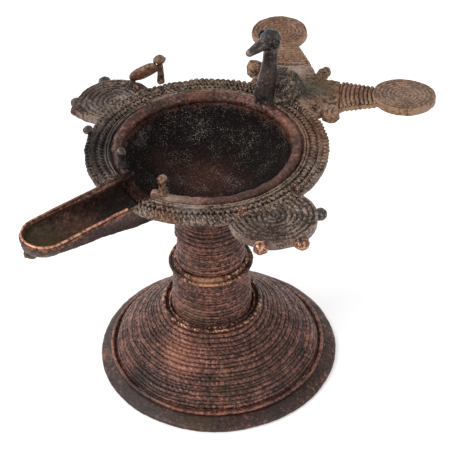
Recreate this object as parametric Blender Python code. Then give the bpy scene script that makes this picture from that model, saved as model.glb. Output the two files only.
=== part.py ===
"""A cast brass diya, an oil lamp on a tall foot, as separate named pieces.

The oil pan stands on a stem and a wide hollow foot. A spout for the wick runs to -Y. A bird and a
forked tail with two coiled discs stand at +Y, and a coiled disc stands on each side of the rim.
Sizes below are in millimetres and heights are from the table, measured from the stem's centre line.
"""

import math

import bmesh
import bpy
from mathutils import Matrix, Vector

MM = 0.001
GAP = 0.3  # left between pieces that touch
MERGE = 0.00001  # metres; joins points of one piece that coincide

# Where the stem's centre line stands, from the middle of the whole lamp's outline
STEM_PLACE = (-0.9, -4.6)

# Foot
FOOT_RADIUS = 55.0
FOOT_HOLLOW = 46.5
FOOT_LEAN = (1.2, 1.8)  # how far the foot's edge stands off the stem's centre line
FLANGE_TOP = 4.4
EDGE_THREAD = (48.6, 1.1)  # ring radius, thread radius
CONE_TOP = 29.0
CONE_WALL = 3.2

# Stem
BORE = 9.5  # the core hole up the stem, as left by the casting
STEM_RING_Z = (53.5, 56.5)
STEM_RING_RADIUS = 19.0
STEM_TOP = 87.9
NECK_THREADS = 4

# Pan
RIM_Z = 117.0
RIM_RADIUS = 51.6
WELL_RADIUS = 35.3
WELL_FLOOR = 97.0
PLATE_Z = (113.4, 115.6)
DISC_Z = (112.6, 115.2)

# Spout
SPOUT_X = 2.5
SPOUT_HALF_WIDTH = 10.7
SPOUT_ROOT_Y = -33.0
SPOUT_END_Y = -94.7
SPOUT_WALL = 2.0
SPOUT_TOP = 116.0
SPOUT_DEPTHS = ((-33.0, 18.5), (-44.0, 16.8), (-63.0, 12.3), (-76.0, 10.2), (-84.0, 8.4))
LIP_THREAD = 0.7  # thread radius
POST_PLACES = {"right": (14.9, -35.0), "left": (-10.6, -36.2)}
POST_FOOT = 118.8

# Coiled discs
COIL_THREAD = 0.75
COIL_PITCH = 2.3

# Finishes: base colour, roughness, metallic
FINISHES = {
    "foot_patina": ((0.085, 0.045, 0.035), 0.45, 0.85),
    "stem_patina": ((0.10, 0.055, 0.04), 0.42, 0.85),
    "worn_copper": ((0.42, 0.22, 0.15), 0.35, 0.95),
    "lamp_soot": ((0.02, 0.017, 0.016), 0.7, 0.3),
    "rim_grey": ((0.10, 0.085, 0.075), 0.6, 0.6),
    "spout_olive": ((0.07, 0.05, 0.025), 0.5, 0.8),
    "tail_bronze": ((0.20, 0.12, 0.07), 0.5, 0.8),
    "bird_black": ((0.045, 0.035, 0.032), 0.4, 0.7),
}


def start_clean():
    for thing in list(bpy.data.objects):
        bpy.data.objects.remove(thing, do_unlink=True)


def make_finish(node, finish):
    colour, roughness, metallic = FINISHES[finish]
    material = bpy.data.materials.new(node + "_" + finish)
    material.use_nodes = True
    shader = material.node_tree.nodes["Principled BSDF"]
    shader.inputs["Base Color"].default_value = (*colour, 1.0)
    shader.inputs["Roughness"].default_value = roughness
    shader.inputs["Metallic"].default_value = metallic
    return material


def place_piece(name, bm, finish):
    """Turns a mesh in millimetres into a named, shaded piece on the lamp."""
    bmesh.ops.remove_doubles(bm, verts=bm.verts, dist=MERGE / MM)
    bmesh.ops.scale(bm, vec=(MM, MM, MM), verts=bm.verts)
    bmesh.ops.recalc_face_normals(bm, faces=bm.faces)
    mesh = bpy.data.meshes.new(name)
    bm.to_mesh(mesh)
    bm.free()
    piece = bpy.data.objects.new(name, mesh)
    bpy.context.scene.collection.objects.link(piece)
    piece.parent = LAMP
    if finish is None:
        piece.hide_render = True
        piece.display_type = "WIRE"
        return piece
    mesh.materials.append(make_finish(name, finish))
    mesh.shade_smooth()
    mesh.set_sharp_from_angle(angle=math.radians(35))
    return piece


def cut_away(piece, cutter):
    """Takes the cutter's shape out of a piece."""
    cut = piece.modifiers.new("clear_" + cutter.name, "BOOLEAN")
    cut.operation = "DIFFERENCE"
    cut.solver = "EXACT"
    cut.object = cutter


def turned(name, outline, finish, steps=40):
    """Spins a closed outline of (radius, height) once round the stem's centre line."""
    bm = bmesh.new()
    ring = [bm.verts.new((radius, 0.0, height)) for radius, height in outline]
    edges = []
    for last, this in zip([ring[-1], *ring[:-1]], ring):
        if last.co.x > 0 or this.co.x > 0:
            edges.append(bm.edges.new((last, this)))
    bmesh.ops.spin(
        bm, geom=ring + edges, cent=(0, 0, 0), axis=(0, 0, 1), angle=math.tau, steps=steps, use_merge=True
    )
    return place_piece(name, bm, finish)


def lean(piece):
    """Leans a foot piece so that its foot stands off the stem's centre line."""
    for vertex in piece.data.vertices:
        rise = 1 - vertex.co.z / (CONE_TOP * MM)
        vertex.co.x += FOOT_LEAN[0] * MM * rise
        vertex.co.y += FOOT_LEAN[1] * MM * rise


def round_outline(centre_radius, centre_height, half_width, half_height, points=8):
    """A closed oval outline for a turned thread."""
    turns = [math.tau * i / points for i in range(points)]
    return [
        (centre_radius + half_width * math.cos(t), centre_height + half_height * math.sin(t)) for t in turns
    ]


def lofted(name, sections, finish, closed=False):
    """Skins matching rings of points into one solid, capped at both ends or closed on itself."""
    bm = bmesh.new()
    rings = [[bm.verts.new(point) for point in section] for section in sections]
    pairs = list(zip(rings[:-1], rings[1:]))
    if closed:
        pairs.append((rings[-1], rings[0]))
    else:
        bm.faces.new(rings[0])
        bm.faces.new(rings[-1])
    for low, high in pairs:
        for i in range(len(low)):
            bm.faces.new((low[i - 1], low[i], high[i], high[i - 1]))
    return place_piece(name, bm, finish)


def oval(centre, direction, half_width, half_height, points=12):
    """A ring of points round a centre, square to a direction, with its height kept upright."""
    along = Vector(direction).normalized()
    side = along.cross(Vector((0, 0, 1)))
    side = Vector((1, 0, 0)) if side.length < 0.01 else side.normalized()
    rise = side.cross(along)
    turns = [math.tau * i / points for i in range(points)]
    return [
        Vector(centre) + side * half_width * math.cos(t) + rise * half_height * math.sin(t) for t in turns
    ]


def ball(name, centre, radii, finish, floor=None, steps=14):
    """An egg shape, cut flat at a floor height where one is given."""
    bm = bmesh.new()
    bmesh.ops.create_uvsphere(bm, u_segments=steps, v_segments=steps // 2 + 1, radius=1.0)
    bmesh.ops.scale(bm, vec=radii, verts=bm.verts)
    bmesh.ops.translate(bm, vec=centre, verts=bm.verts)
    if floor is not None:
        cut = bmesh.ops.bisect_plane(
            bm,
            geom=bm.verts[:] + bm.edges[:] + bm.faces[:],
            plane_co=(0, 0, floor),
            plane_no=(0, 0, -1),
            clear_outer=True,
        )
        edges = [part for part in cut["geom_cut"] if isinstance(part, bmesh.types.BMEdge)]
        bmesh.ops.contextual_create(bm, geom=edges)
    return place_piece(name, bm, finish)


def slab(name, outline, heights, finish, bevel=0.0):
    """A flat plate: an outline in plan between two heights, with its edges eased."""
    bm = bmesh.new()
    low = bm.faces.new([bm.verts.new((x, y, heights[0])) for x, y in outline])
    raised = bmesh.ops.extrude_face_region(bm, geom=[low])["geom"]
    tops = [part for part in raised if isinstance(part, bmesh.types.BMVert)]
    bmesh.ops.translate(bm, vec=(0, 0, heights[1] - heights[0]), verts=tops)
    if bevel:
        rims = [edge for edge in bm.edges if abs(edge.verts[0].co.z - edge.verts[1].co.z) < bevel]
        bmesh.ops.bevel(bm, geom=rims, offset=bevel, segments=1, affect="EDGES")
    return place_piece(name, bm, finish)


def arc(centre, radius, start, end, steps):
    """Points on an arc in plan; angles in degrees."""
    turns = [math.radians(start + (end - start) * i / steps) for i in range(steps + 1)]
    return [(centre[0] + radius * math.cos(t), centre[1] + radius * math.sin(t)) for t in turns]


def disc_outline(centre, radius, keep_out, steps=40):
    """A disc in plan, with the part inside the rim taken away along the rim's edge."""
    away = math.degrees(math.atan2(centre[1], centre[0]))
    whole = arc(centre, radius, away - 180, away + 180, steps)[:-1]
    edge = [point for point in whole if math.hypot(*point) > keep_out]
    first = math.degrees(math.atan2(edge[-1][1], edge[-1][0]))
    last = math.degrees(math.atan2(edge[0][1], edge[0][0]))
    sweep = (last - first + 180) % 360 - 180
    return edge + arc((0, 0), keep_out, first + 0.6, first + sweep - 0.6, 8)


def coil(name, centre, radius, height, finish, tilt=None, keep_out=0.0):
    """A thread wound flat in a spiral, from the middle of a disc to its edge."""
    start = 1.6
    turns = (radius - COIL_THREAD - start) / COIL_PITCH
    steps = int(turns * 15)
    sections = []
    for i in range(steps + 1):
        angle = math.tau * turns * i / steps + 0.6
        reach = start + COIL_PITCH * turns * i / steps
        spot = Vector((centre[0] + reach * math.cos(angle), centre[1] + reach * math.sin(angle), height))
        heading = Vector((-math.sin(angle), math.cos(angle), 0))
        sections.append(oval(spot, heading, COIL_THREAD, COIL_THREAD, 4))
    if tilt:
        sections = [[tilt @ point for point in section] for section in sections]
    return lofted(name, sections, finish)


def ribbed_disc(name, centre, radius, low, finish):
    """The rows of a coiled thread where the rim covers part of them: ridges on one thin sheet."""
    rows = int(radius / COIL_PITCH)
    outline = [(0.0, low), (radius, low)]
    for i in range(rows, 0, -1):
        crest = radius * (i - 0.5) / rows
        outline += [(radius * i / rows, low + 0.5), (crest, low + 2 * COIL_THREAD)]
    outline.append((0.0, low + 0.5))
    disc = turned(name, outline, finish, 28)
    for vertex in disc.data.vertices:
        vertex.co.x += centre[0] * MM
        vertex.co.y += centre[1] * MM
    return disc


# --- Foot and stem ---------------------------------------------------------------------------------


def make_foot():
    flange = [
        (FOOT_HOLLOW, 0.0),
        (FOOT_RADIUS, 0.0),
        (FOOT_RADIUS, 1.8),
        (50.2, FLANGE_TOP - 0.2),
        (48.6, FLANGE_TOP),
        (FOOT_HOLLOW, FLANGE_TOP),
    ]
    lean(turned("foot_flange", flange, "foot_patina"))
    ring, thread = EDGE_THREAD
    height = FLANGE_TOP + GAP + thread
    lean(turned("foot_edge_thread", round_outline(ring, height, thread, thread, 6), "worn_copper"))
    base = FLANGE_TOP + GAP
    outside = [(47.1, base), (46.8, 7.2), (45.0, 9.5), (40.0, 14.5), (35.0, 19.0), (30.0, 23.0), (26.0, 26.0)]
    outside.append((22.7, CONE_TOP))
    inside = [(19.4, CONE_TOP), (19.4, 27.2), (30.0, 19.2), (40.0, 10.2), (43.6, base)]
    lean(turned("foot_cone", outside + inside, "foot_patina"))
    low = CONE_TOP + GAP
    collar = [(18.6, low), (22.6, low), (23.0, 30.4), (22.0, 31.4), (21.2, 30.6), (20.4, 32.2), (18.6, 32.2)]
    turned("foot_collar", collar, "foot_patina")


def make_stem():
    low = CONE_TOP + GAP
    ring_low, ring_high = STEM_RING_Z
    high = ring_low - GAP
    below = [(BORE, low), (18.0, low), (18.1, 33.0), (17.1, 42.0), (17.3, high), (BORE, high)]
    turned("stem_lower", below, "stem_patina", 32)
    edge = STEM_RING_RADIUS
    ring = [
        (BORE, ring_low),
        (edge - 1.6, ring_low),
        (edge - 0.2, ring_low + 0.7),
        (edge, ring_low + 1.8),
        (edge - 0.8, ring_high - 0.2),
        (edge - 2.0, ring_high - 0.9),
        (edge - 3.2, ring_high),
        (BORE, ring_high),
    ]
    turned("stem_ring", ring, "worn_copper", 32)
    start = ring_high + GAP
    threads_low, threads_high = 70.6, 80.2
    above = [
        (BORE, start),
        (15.4, start),
        (14.5, 66.0),
        (14.6, threads_low - GAP),
        (13.4, threads_low - GAP),
        (13.4, threads_high + GAP),
        (14.9, threads_high + GAP),
        (15.6, STEM_TOP),
        (BORE, STEM_TOP),
    ]
    turned("stem_upper", above, "stem_patina", 32)
    pitch = (threads_high - threads_low) / NECK_THREADS
    wound = [(13.4 + GAP, threads_low)]
    for i in range(NECK_THREADS):
        at = threads_low + pitch * i
        wound += [(14.4, at), (15.5, at + pitch * 0.25), (15.5, at + pitch * 0.75)]
    wound += [(14.4, threads_high), (13.4 + GAP, threads_high)]
    turned("stem_neck_threads", wound, "stem_patina", 28)


# --- Pan -------------------------------------------------------------------------------------------


def make_pan(cutters):
    low = STEM_TOP + GAP
    top = 114.2
    bowl = [
        (0.0, low),
        (16.0, low),
        (20.0, 91.5),
        (28.0, 95.5),
        (35.5, 102.5),
        (39.5, 109.5),
        (40.6, 113.0),
        (40.6, top),
        (WELL_RADIUS, top),
        (34.6, 110.5),
        (31.2, 104.6),
        (25.0, 100.0),
        (15.0, 97.4),
        (0.0, WELL_FLOOR),
    ]
    pieces = [turned("pan_bowl", bowl, "lamp_soot")]
    lip = [
        (WELL_RADIUS, top + GAP),
        (40.6, top + GAP),
        (40.7, 116.9),
        (39.4, 118.3),
        (37.4, 118.5),
        (35.8, 117.5),
    ]
    pieces.append(turned("pan_lip", lip, "lamp_soot"))
    plate = [(41.0, PLATE_Z[0]), (51.2, PLATE_Z[0] + 0.6), (51.2, PLATE_Z[1]), (41.0, PLATE_Z[1])]
    pieces.append(turned("pan_rim_plate", plate, "rim_grey"))
    seat = PLATE_Z[1] + GAP
    threads = [(41.0, seat), (43.1, seat), (43.2, 116.9), (42.6, 117.4), (42.1, 116.9)]
    threads += [(41.6, 117.4), (41.0, 117.1)]
    pieces.append(turned("rim_threads", threads, "rim_grey"))
    inner = [(43.5, seat), (46.5, seat), (46.3, 117.0), (45.0, 117.4), (43.7, 117.0)]
    pieces.append(turned("rim_hatch_inner", inner, "rim_grey"))
    outer = [(46.8, seat), (49.0, seat), (48.9, 116.9), (48.0, 117.3), (47.0, 116.9)]
    pieces.append(turned("rim_hatch_outer", outer, "rim_grey"))
    beads = [(49.3, seat), (RIM_RADIUS, seat), (RIM_RADIUS, 116.6), (50.6, 117.2), (49.4, 116.8)]
    pieces.append(turned("rim_beads", beads, "rim_grey"))
    for piece in pieces:
        cut_away(piece, cutters["spout_clearance"])
    cut_away(pieces[0], cutters["channel_clearance"])


# --- Spout -----------------------------------------------------------------------------------------


def spout_depth(y):
    """How far the trough's underside lies below its lip at a place along it."""
    for (near, near_depth), (far, far_depth) in zip(SPOUT_DEPTHS, SPOUT_DEPTHS[1:]):
        if y >= far:
            return near_depth + (far_depth - near_depth) * (near - y) / (near - far)
    return SPOUT_DEPTHS[-1][1]


def spout_stations():
    """Places along the trough with its half width and depth; the end closes as a half circle."""
    middle = SPOUT_END_Y + SPOUT_HALF_WIDTH
    straight = [SPOUT_ROOT_Y, -38.0, -44.0, -52.0, -62.0, -72.0, -78.0]
    stations = [(y, 1.0, spout_depth(y)) for y in straight]
    for i in range(6):
        turn = math.radians(i * 16)
        y = middle - SPOUT_HALF_WIDTH * math.sin(turn)
        stations.append((y, math.cos(turn), spout_depth(middle) * math.cos(turn) ** 0.7))
    return stations


def trough_section(y, half_width, depth, wall, points=8):
    """A U of even wall: the outer curve from lip to lip, then the inner curve back."""
    turns = [math.pi * i / points for i in range(points + 1)]
    outer = [(SPOUT_X - half_width * math.cos(t), y, SPOUT_TOP - depth * math.sin(t)) for t in turns]
    inner_width = max(half_width - wall, 0.4)
    inner_depth = max(depth - wall, 0.4)
    inner = [(SPOUT_X + inner_width * math.cos(t), y, SPOUT_TOP - inner_depth * math.sin(t)) for t in turns]
    return outer + inner


def make_spout():
    walls = []
    for y, share, depth in spout_stations():
        walls.append(trough_section(y, SPOUT_HALF_WIDTH * share, depth, SPOUT_WALL * share + 0.1))
    lofted("spout_trough", walls, "spout_olive")
    middle = SPOUT_END_Y + SPOUT_HALF_WIDTH
    reach = SPOUT_HALF_WIDTH - LIP_THREAD
    height = SPOUT_TOP + GAP + LIP_THREAD
    route = [(SPOUT_X + reach, y) for y in (-53.0, -62.0, -73.0)]
    route += arc((SPOUT_X, middle), reach, 0, -180, 14)
    route += [(SPOUT_X - reach, y) for y in (-73.0, -62.0, -53.0)]
    sections = []
    for i, (x, y) in enumerate(route):
        before = route[max(i - 1, 0)]
        after = route[min(i + 1, len(route) - 1)]
        heading = (after[0] - before[0], after[1] - before[1], 0)
        sections.append(oval((x, y, height), heading, LIP_THREAD, LIP_THREAD, 6))
    lofted("spout_lip_thread", sections, "worn_copper")
    around = []
    for y, share, depth in spout_stations()[-7:]:
        around.append(channel_section(y - GAP, SPOUT_HALF_WIDTH * share + GAP, depth + GAP))
    knob = ball("spout_tip_knob", (1.6, -90.9, 107.6), (3.5, 3.5, 3.5), "worn_copper")
    cut_away(knob, lofted("spout_tip_clearance", around, None))


def make_cutters():
    """Room for the trough, for the channel from the well into it, and for the rim."""
    cutters = {}
    wide = []
    for y, root in ((SPOUT_ROOT_Y + GAP, SPOUT_ROOT_Y), (-70.0, -70.0)):
        wide.append(channel_section(y, SPOUT_HALF_WIDTH + GAP, spout_depth(root) + GAP))
    cutters["spout_clearance"] = lofted("spout_clearance", wide, None)
    narrow = []
    for y in (-20.0, -45.0):
        narrow.append(channel_section(y, SPOUT_HALF_WIDTH - SPOUT_WALL, spout_depth(y) - SPOUT_WALL))
    cutters["channel_clearance"] = lofted("channel_clearance", narrow, None)
    edge, low, high = RIM_RADIUS + GAP, RIM_Z - 7, RIM_Z + 3
    wall = [(0.0, low), (edge, low), (edge, high), (0.0, high)]
    cutters["rim_clearance"] = turned("rim_clearance", wall, None, 96)
    return cutters


def channel_section(y, half_width, depth, points=12):
    turns = [math.pi * i / points for i in range(points + 1)]
    low = [(SPOUT_X - half_width * math.cos(t), y, SPOUT_TOP - depth * math.sin(t)) for t in turns]
    return low + [(SPOUT_X + half_width, y, 125.0), (SPOUT_X - half_width, y, 125.0)]


def make_posts():
    """The two short posts that stand on the lip, one each side of the spout's mouth."""
    low = POST_FOOT
    for side, (x, y) in POST_PLACES.items():
        shape = [(2.4, 0.0), (1.8, 2.0), (1.5, 5.0), (2.1, 6.6), (2.0, 8.0), (0.9, 9.0)]
        sections = [oval((x, y, low + rise), (0, 0, 1), radius, radius, 8) for radius, rise in shape]
        lofted("spout_post_" + side, sections, "bird_black")


# --- Coiled discs on the rim's sides ---------------------------------------------------------------

SIDE_DISCS = {
    "left": ((-53.8, -8.1), 16.6, (-112.0, -134.0, 158.0)),
    "right": ((53.0, -9.8), 17.9, (-55.0, -5.0, 56.0)),
}


PELLET = 3.1  # radius of the pellets round the discs
PELLET_Z = 114.6
RIM_PELLET = 2.6
RIM_PELLET_PLACES = [(47.2, -20.4), (49.3, 5.6), (-50.6, 1.9), (-38.6, -33.4)]


def make_side_discs(cutters):
    for side, (centre, radius, knobs) in SIDE_DISCS.items():
        outline = disc_outline(centre, radius, RIM_RADIUS + GAP)
        slab(side + "_disc", outline, DISC_Z, "rim_grey")
        room = slab(
            side + "_disc_clearance",
            disc_outline(centre, radius + GAP, RIM_RADIUS - 2),
            (DISC_Z[0] - GAP, 122.0),
            None,
        )
        rows = ribbed_disc(side + "_disc_coil", centre, radius - 1.5, DISC_Z[1] + GAP, "rim_grey")
        cut_away(rows, cutters["rim_clearance"])
        for number, turn in enumerate(knobs, 1):
            (x, y), _ = arc(centre, radius + 1.2, turn, turn, 1)
            knob = ball(
                f"{side}_disc_knob_{number}", (x, y, PELLET_Z), (PELLET,) * 3, "worn_copper", steps=10
            )
            cut_away(knob, room)


def make_rim_knobs():
    """Round pellets that stand on the rim's edge where the side discs meet it."""
    height = RIM_Z + 0.5 + RIM_PELLET
    for number, (x, y) in enumerate(RIM_PELLET_PLACES, 1):
        ball(f"rim_knob_{number}", (x, y, height), (RIM_PELLET,) * 3, "worn_copper", steps=10)


# --- Bird on the left of the rim -------------------------------------------------------------------


def make_rim_bird():
    spine = [
        ((-57.6, 4.2, 121.6), 1.0, 1.2),
        ((-56.8, 5.4, 122.2), 1.8, 2.6),
        ((-54.6, 8.4, 123.6), 2.1, 3.2),
        ((-52.6, 11.2, 125.0), 1.9, 2.6),
        ((-51.6, 12.6, 125.8), 1.2, 1.4),
    ]
    heading = (6.0, 8.4, 4.0)
    lofted("rim_bird_body", [oval(*([at, heading]), w, h, 10) for at, w, h in spine], "tail_bronze")
    ball("rim_bird_head", (-50.6, 14.9, 129.0), (2.7, 2.9, 1.8), "tail_bronze", steps=12)
    neck = [((-50.0, 14.6, 117.6), 1.5), ((-50.3, 14.9, 122.0), 1.2), ((-50.6, 15.0, 126.9), 1.0)]
    lofted("rim_bird_neck", [oval(at, (0, 0, 1), r, r, 8) for at, r in neck], "tail_bronze")
    leg = [((-57.3, 4.6, 117.4), 1.2), ((-57.2, 4.8, 119.4), 1.0)]
    lofted("rim_bird_leg", [oval(at, (0, 0, 1), r, r, 8) for at, r in leg], "tail_bronze")


# --- Bird at the back ------------------------------------------------------------------------------

NECK = [
    ((-9.0, 40.4, 119.0), 5.2),
    ((-9.0, 40.5, 122.5), 4.6),
    ((-9.0, 41.6, 128.0), 3.8),
    ((-9.0, 43.1, 134.0), 3.3),
    ((-9.0, 43.8, 141.4), 3.0),
]
HEAD = (-9.0, 43.6, 146.6)
HEAD_RADII = (4.4, 5.0, 4.6)
BEAK = [
    ((-9.0, 38.0, 146.0), 2.4),
    ((-9.1, 35.4, 145.6), 2.2),
    ((-9.1, 32.8, 145.1), 1.8),
    ((-9.2, 30.6, 144.7), 1.3),
]


def make_back_bird():
    lofted("bird_neck", [oval(at, (0, 0, 1), r, r, 14) for at, r in NECK], "bird_black")
    room = lofted("neck_clearance", [oval(at, (0, 0, 1), r + GAP, r + GAP, 14) for at, r in NECK], None)
    body = ball("bird_body", (-8.6, 49.4, 119.8), (8.8, 10.6, 8.2), "bird_black", floor=117.8, steps=18)
    cut_away(body, room)
    ball("bird_head", HEAD, HEAD_RADII, "bird_black", steps=16)
    lofted("bird_beak", [oval(at, (0, -1, -0.2), r, r * 0.9, 10) for at, r in BEAK], "bird_black")
    x, y, z = HEAD
    for side, sign in (("left", -1), ("right", 1)):
        flat = [(sign * (HEAD_RADII[0] + 0.4), 1.8), (sign * (HEAD_RADII[0] + 1.3), 1.6)]
        rings = [oval((x + out, y - 0.8, z + 1.0), (1, 0, 0), r, r, 10) for out, r in flat]
        lofted("bird_eye_" + side, rings, "worn_copper")


# --- Tail ------------------------------------------------------------------------------------------

TAIL_Z = (113.2, 116.6)
TAIL_DISCS = {"left": ((-49.1, 84.6), 13.0, 0.0), "right": ((27.2, 89.9), 13.9, -5.0)}


def make_tail():
    edge = RIM_RADIUS + GAP
    plate = arc((0, 0), edge, 73.5, 119.5, 8)
    plate += [(-28.6, 54.0), (-26.2, 64.8), (-16.9, 75.3), (-7.8, 70.9)]
    plate += [(1.0, 76.1), (15.0, 61.6), (13.0, 56.0)]
    slab("tail_plate", plate, TAIL_Z, "tail_bronze")
    roots = {"left": [(-26.6, 65.3), (-17.3, 75.8)], "right": [(15.4, 62.0), (1.3, 76.6)]}
    meets = {"left": (-8.0, -50.0), "right": (202.0, 258.0)}
    for side, root in roots.items():
        centre, radius, _ = TAIL_DISCS[side]
        end = arc(centre, radius + GAP, *meets[side], 5)
        slab("tail_arm_" + side, root + end, TAIL_Z, "tail_bronze")
    for side, (centre, radius, degrees) in TAIL_DISCS.items():
        middle = Vector((*centre, 115.0))
        turn = Matrix.Translation(middle) @ Matrix.Rotation(math.radians(degrees), 4, (0.777, 0.629, 0))
        tilt = turn @ Matrix.Translation(-middle)
        disc = slab("tail_disc_" + side, arc(centre, radius, 0, 360, 32)[:-1], (113.0, 115.4), "tail_bronze")
        for vertex in disc.data.vertices:
            vertex.co = (tilt @ (vertex.co / MM)) * MM
        height = 115.4 + GAP + COIL_THREAD
        coil(f"tail_disc_{side}_coil", centre, radius, height, "tail_bronze", tilt)
    lobes = {"left": (-33.6, 54.6), "right": (18.0, 55.9)}
    for side, (x, y) in lobes.items():
        shape = [(3.6, 113.2), (4.6, 114.4), (4.6, 118.2), (3.4, 119.6)]
        sections = [oval((x, y, height), (0, 0, 1), radius, radius, 14) for radius, height in shape]
        lofted("tail_lobe_" + side, sections, "tail_bronze")
    start, heading = Vector((-7.9, 71.0, 115.6)), Vector((-0.22, 0.975, 0))
    shape = [(0.8, 0.5), (2.2, 2.2), (4.2, 3.0), (6.6, 2.9), (8.4, 1.5)]
    sections = [oval(start + heading * along, heading, radius, radius, 10) for along, radius in shape]
    lofted("tail_fork_knob", sections, "tail_bronze")


start_clean()
LAMP = bpy.data.objects.new("lamp", None)
bpy.context.scene.collection.objects.link(LAMP)
LAMP.location = (STEM_PLACE[0] * MM, STEM_PLACE[1] * MM, 0.0)
CUTTERS = make_cutters()
make_foot()
make_stem()
make_pan(CUTTERS)
make_spout()
make_posts()
make_side_discs(CUTTERS)
make_rim_knobs()
make_rim_bird()
make_back_bird()
make_tail()
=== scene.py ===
"""The visible metal of a cast brass diya, an oil lamp on a tall foot, built around its CAD frame.

The real lamp is cast by the lost-wax way: its maker winds wax thread row on row over a clay core, lays
more thread, loops and pellets on it, and pours brass into the shape that the wax leaves. So the pieces
here are wound, coiled and pressed on in the same way, and then roughened as sand and clay leave them.

Shapes are drawn in millimetres, measured from the stem's centre line, with heights from the table.
"""

import math
import random
from collections import namedtuple

import bpy
import numpy as np
from mathutils import Matrix, Vector


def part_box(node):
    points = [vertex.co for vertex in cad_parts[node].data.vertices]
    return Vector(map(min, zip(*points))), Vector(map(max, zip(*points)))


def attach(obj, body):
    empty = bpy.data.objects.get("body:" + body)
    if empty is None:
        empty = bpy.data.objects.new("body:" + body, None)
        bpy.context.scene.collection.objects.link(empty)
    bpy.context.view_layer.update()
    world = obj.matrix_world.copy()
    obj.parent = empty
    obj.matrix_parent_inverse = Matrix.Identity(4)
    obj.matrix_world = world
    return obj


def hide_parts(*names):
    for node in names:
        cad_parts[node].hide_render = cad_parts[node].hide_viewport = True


bl_info = {
    "name": "Cast brass diya",
    "version": (1, 0, 0),
    "blender": (4, 5, 0),
    "location": "3D View > Sidebar > Diya",
    "description": "Builds the visible metal of a lost-wax cast brass oil lamp around its CAD frame",
    "category": "Object",
}

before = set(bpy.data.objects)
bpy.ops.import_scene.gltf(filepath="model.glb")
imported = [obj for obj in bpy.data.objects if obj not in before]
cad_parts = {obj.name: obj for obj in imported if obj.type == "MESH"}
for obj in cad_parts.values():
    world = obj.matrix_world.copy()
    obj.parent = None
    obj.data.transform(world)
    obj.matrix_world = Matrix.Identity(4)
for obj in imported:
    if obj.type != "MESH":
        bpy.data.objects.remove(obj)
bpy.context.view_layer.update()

MM = 0.001
MERGE = 1e-7  # metres; points of one piece closer than this are one point

stem_low, stem_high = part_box("stem_lower")
STEM = Vector(((stem_low.x + stem_high.x) / 2, (stem_low.y + stem_high.y) / 2, 0.0))

Gauge = namedtuple("Gauge", "x y reach low high")


def gauge(node):
    """A CAD node's middle in plan, its reach to the side, and its levels, in millimetres."""
    low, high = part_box(node)
    middle = (low + high) / 2 - STEM
    return Gauge(middle.x / MM, middle.y / MM, (high.x - low.x) / 2 / MM, low.z / MM, high.z / MM)


def linear(code):
    """An sRGB hex colour as the linear red, green and blue that a shader takes."""
    shares = [int(code[i : i + 2], 16) / 255 for i in (1, 3, 5)]
    return tuple(s / 12.92 if s <= 0.04045 else ((s + 0.055) / 1.055) ** 2.4 for s in shares)


# --- Sizes and colours that a user would change ------------------------------------------------------


def length(name, note, default):
    return bpy.props.FloatProperty(
        name=name, description=note, default=default * MM, min=0.0, subtype="DISTANCE", unit="LENGTH"
    )


def colour(name, note, code):
    return bpy.props.FloatVectorProperty(
        name=name, description=note, default=linear(code), size=3, min=0.0, max=1.0, subtype="COLOR"
    )


class DiyaSizes(bpy.types.PropertyGroup):
    cone_pitch: length("Cone thread", "Height of one row of thread on the foot's cone", 1.8)
    nick_gap: length("Nicks", "Gap between the nicks that cross the cone's rows", 2.4)
    stem_pitch: length("Stem thread", "Height of one row of thread on the stem", 1.25)
    coil_pitch: length("Coils", "Width of one turn in the coiled discs", 2.1)
    loop_gap: length("Rim loops", "Gap between the loops of thread along the rim's edge", 2.4)
    hatch_gap: length("Hatching", "Gap between the slanted threads on the rim", 2.2)
    grit: length("Casting grit", "Depth of the roughness that the clay leaves", 0.07)


class DiyaColours(bpy.types.PropertyGroup):
    # The groove colour also stands in for painted shade on the stem under the pan.
    groove: colour("Groove", "Dirt and soot that sit in the grooves", "#150c0a")
    patina: colour("Patina", "Brown patina of handled brass", "#4c2e26")
    # Worn metal also stands in, in part, for a painted highlight on the cone's front left.
    copper: colour("Worn metal", "Copper-red metal bared by wear", "#8f5b4a")
    # Bright wear also stands in for painted highlights on the cone's front left and on the stem ring's front.
    bright: colour("Bright wear", "Metal polished on edges and pellets", "#c79372")
    soot: colour("Soot", "Burnt oil in the pan", "#110d0c")
    ember: colour("Ember brown", "Red-brown metal that shows through the soot", "#3c241c")
    ash: colour("Dust", "Pale dust and ash caught in the relief", "#a8a099")
    rim: colour("Rim", "Grey-brown patina of the rim", "#46382f")
    # The rim's crest colour also stands in for a painted highlight on the front of the pan's lip.
    rim_crest: colour("Rim crests", "Paler metal on the rim's threads", "#836e60")
    olive: colour("Olive", "Old oil film on the spout and tail", "#4a3b1e")
    bronze: colour("Tail", "Dry brown bronze of the tail", "#644835")
    bronze_crest: colour("Tail crests", "Paler metal on the tail's threads", "#8c6d56")
    verdigris: colour("Verdigris", "Green corrosion by the bird", "#35362b")
    blush: colour("Blush", "Pale pink-grey bare patch", "#8d786e")
    char: colour("Bird", "Near-black metal of the bird", "#2a211f")
    # Orange wear also stands in for a painted highlight on the stem ring's front and a painted glint on the
    # flange's edge.
    rust: colour("Orange wear", "Orange metal rubbed bare", "#75492f")


# --- Hand tools: drawing, winding and pressing shapes ------------------------------------------------


def put_down():
    """Leaves nothing selected, so that the next tool works on its own piece only."""
    bpy.ops.object.select_all(action="DESELECT")


def pick_up(piece):
    """Makes one piece the only one that the next tool works on."""
    put_down()
    piece.select_set(True)
    bpy.context.view_layer.objects.active = piece


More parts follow.
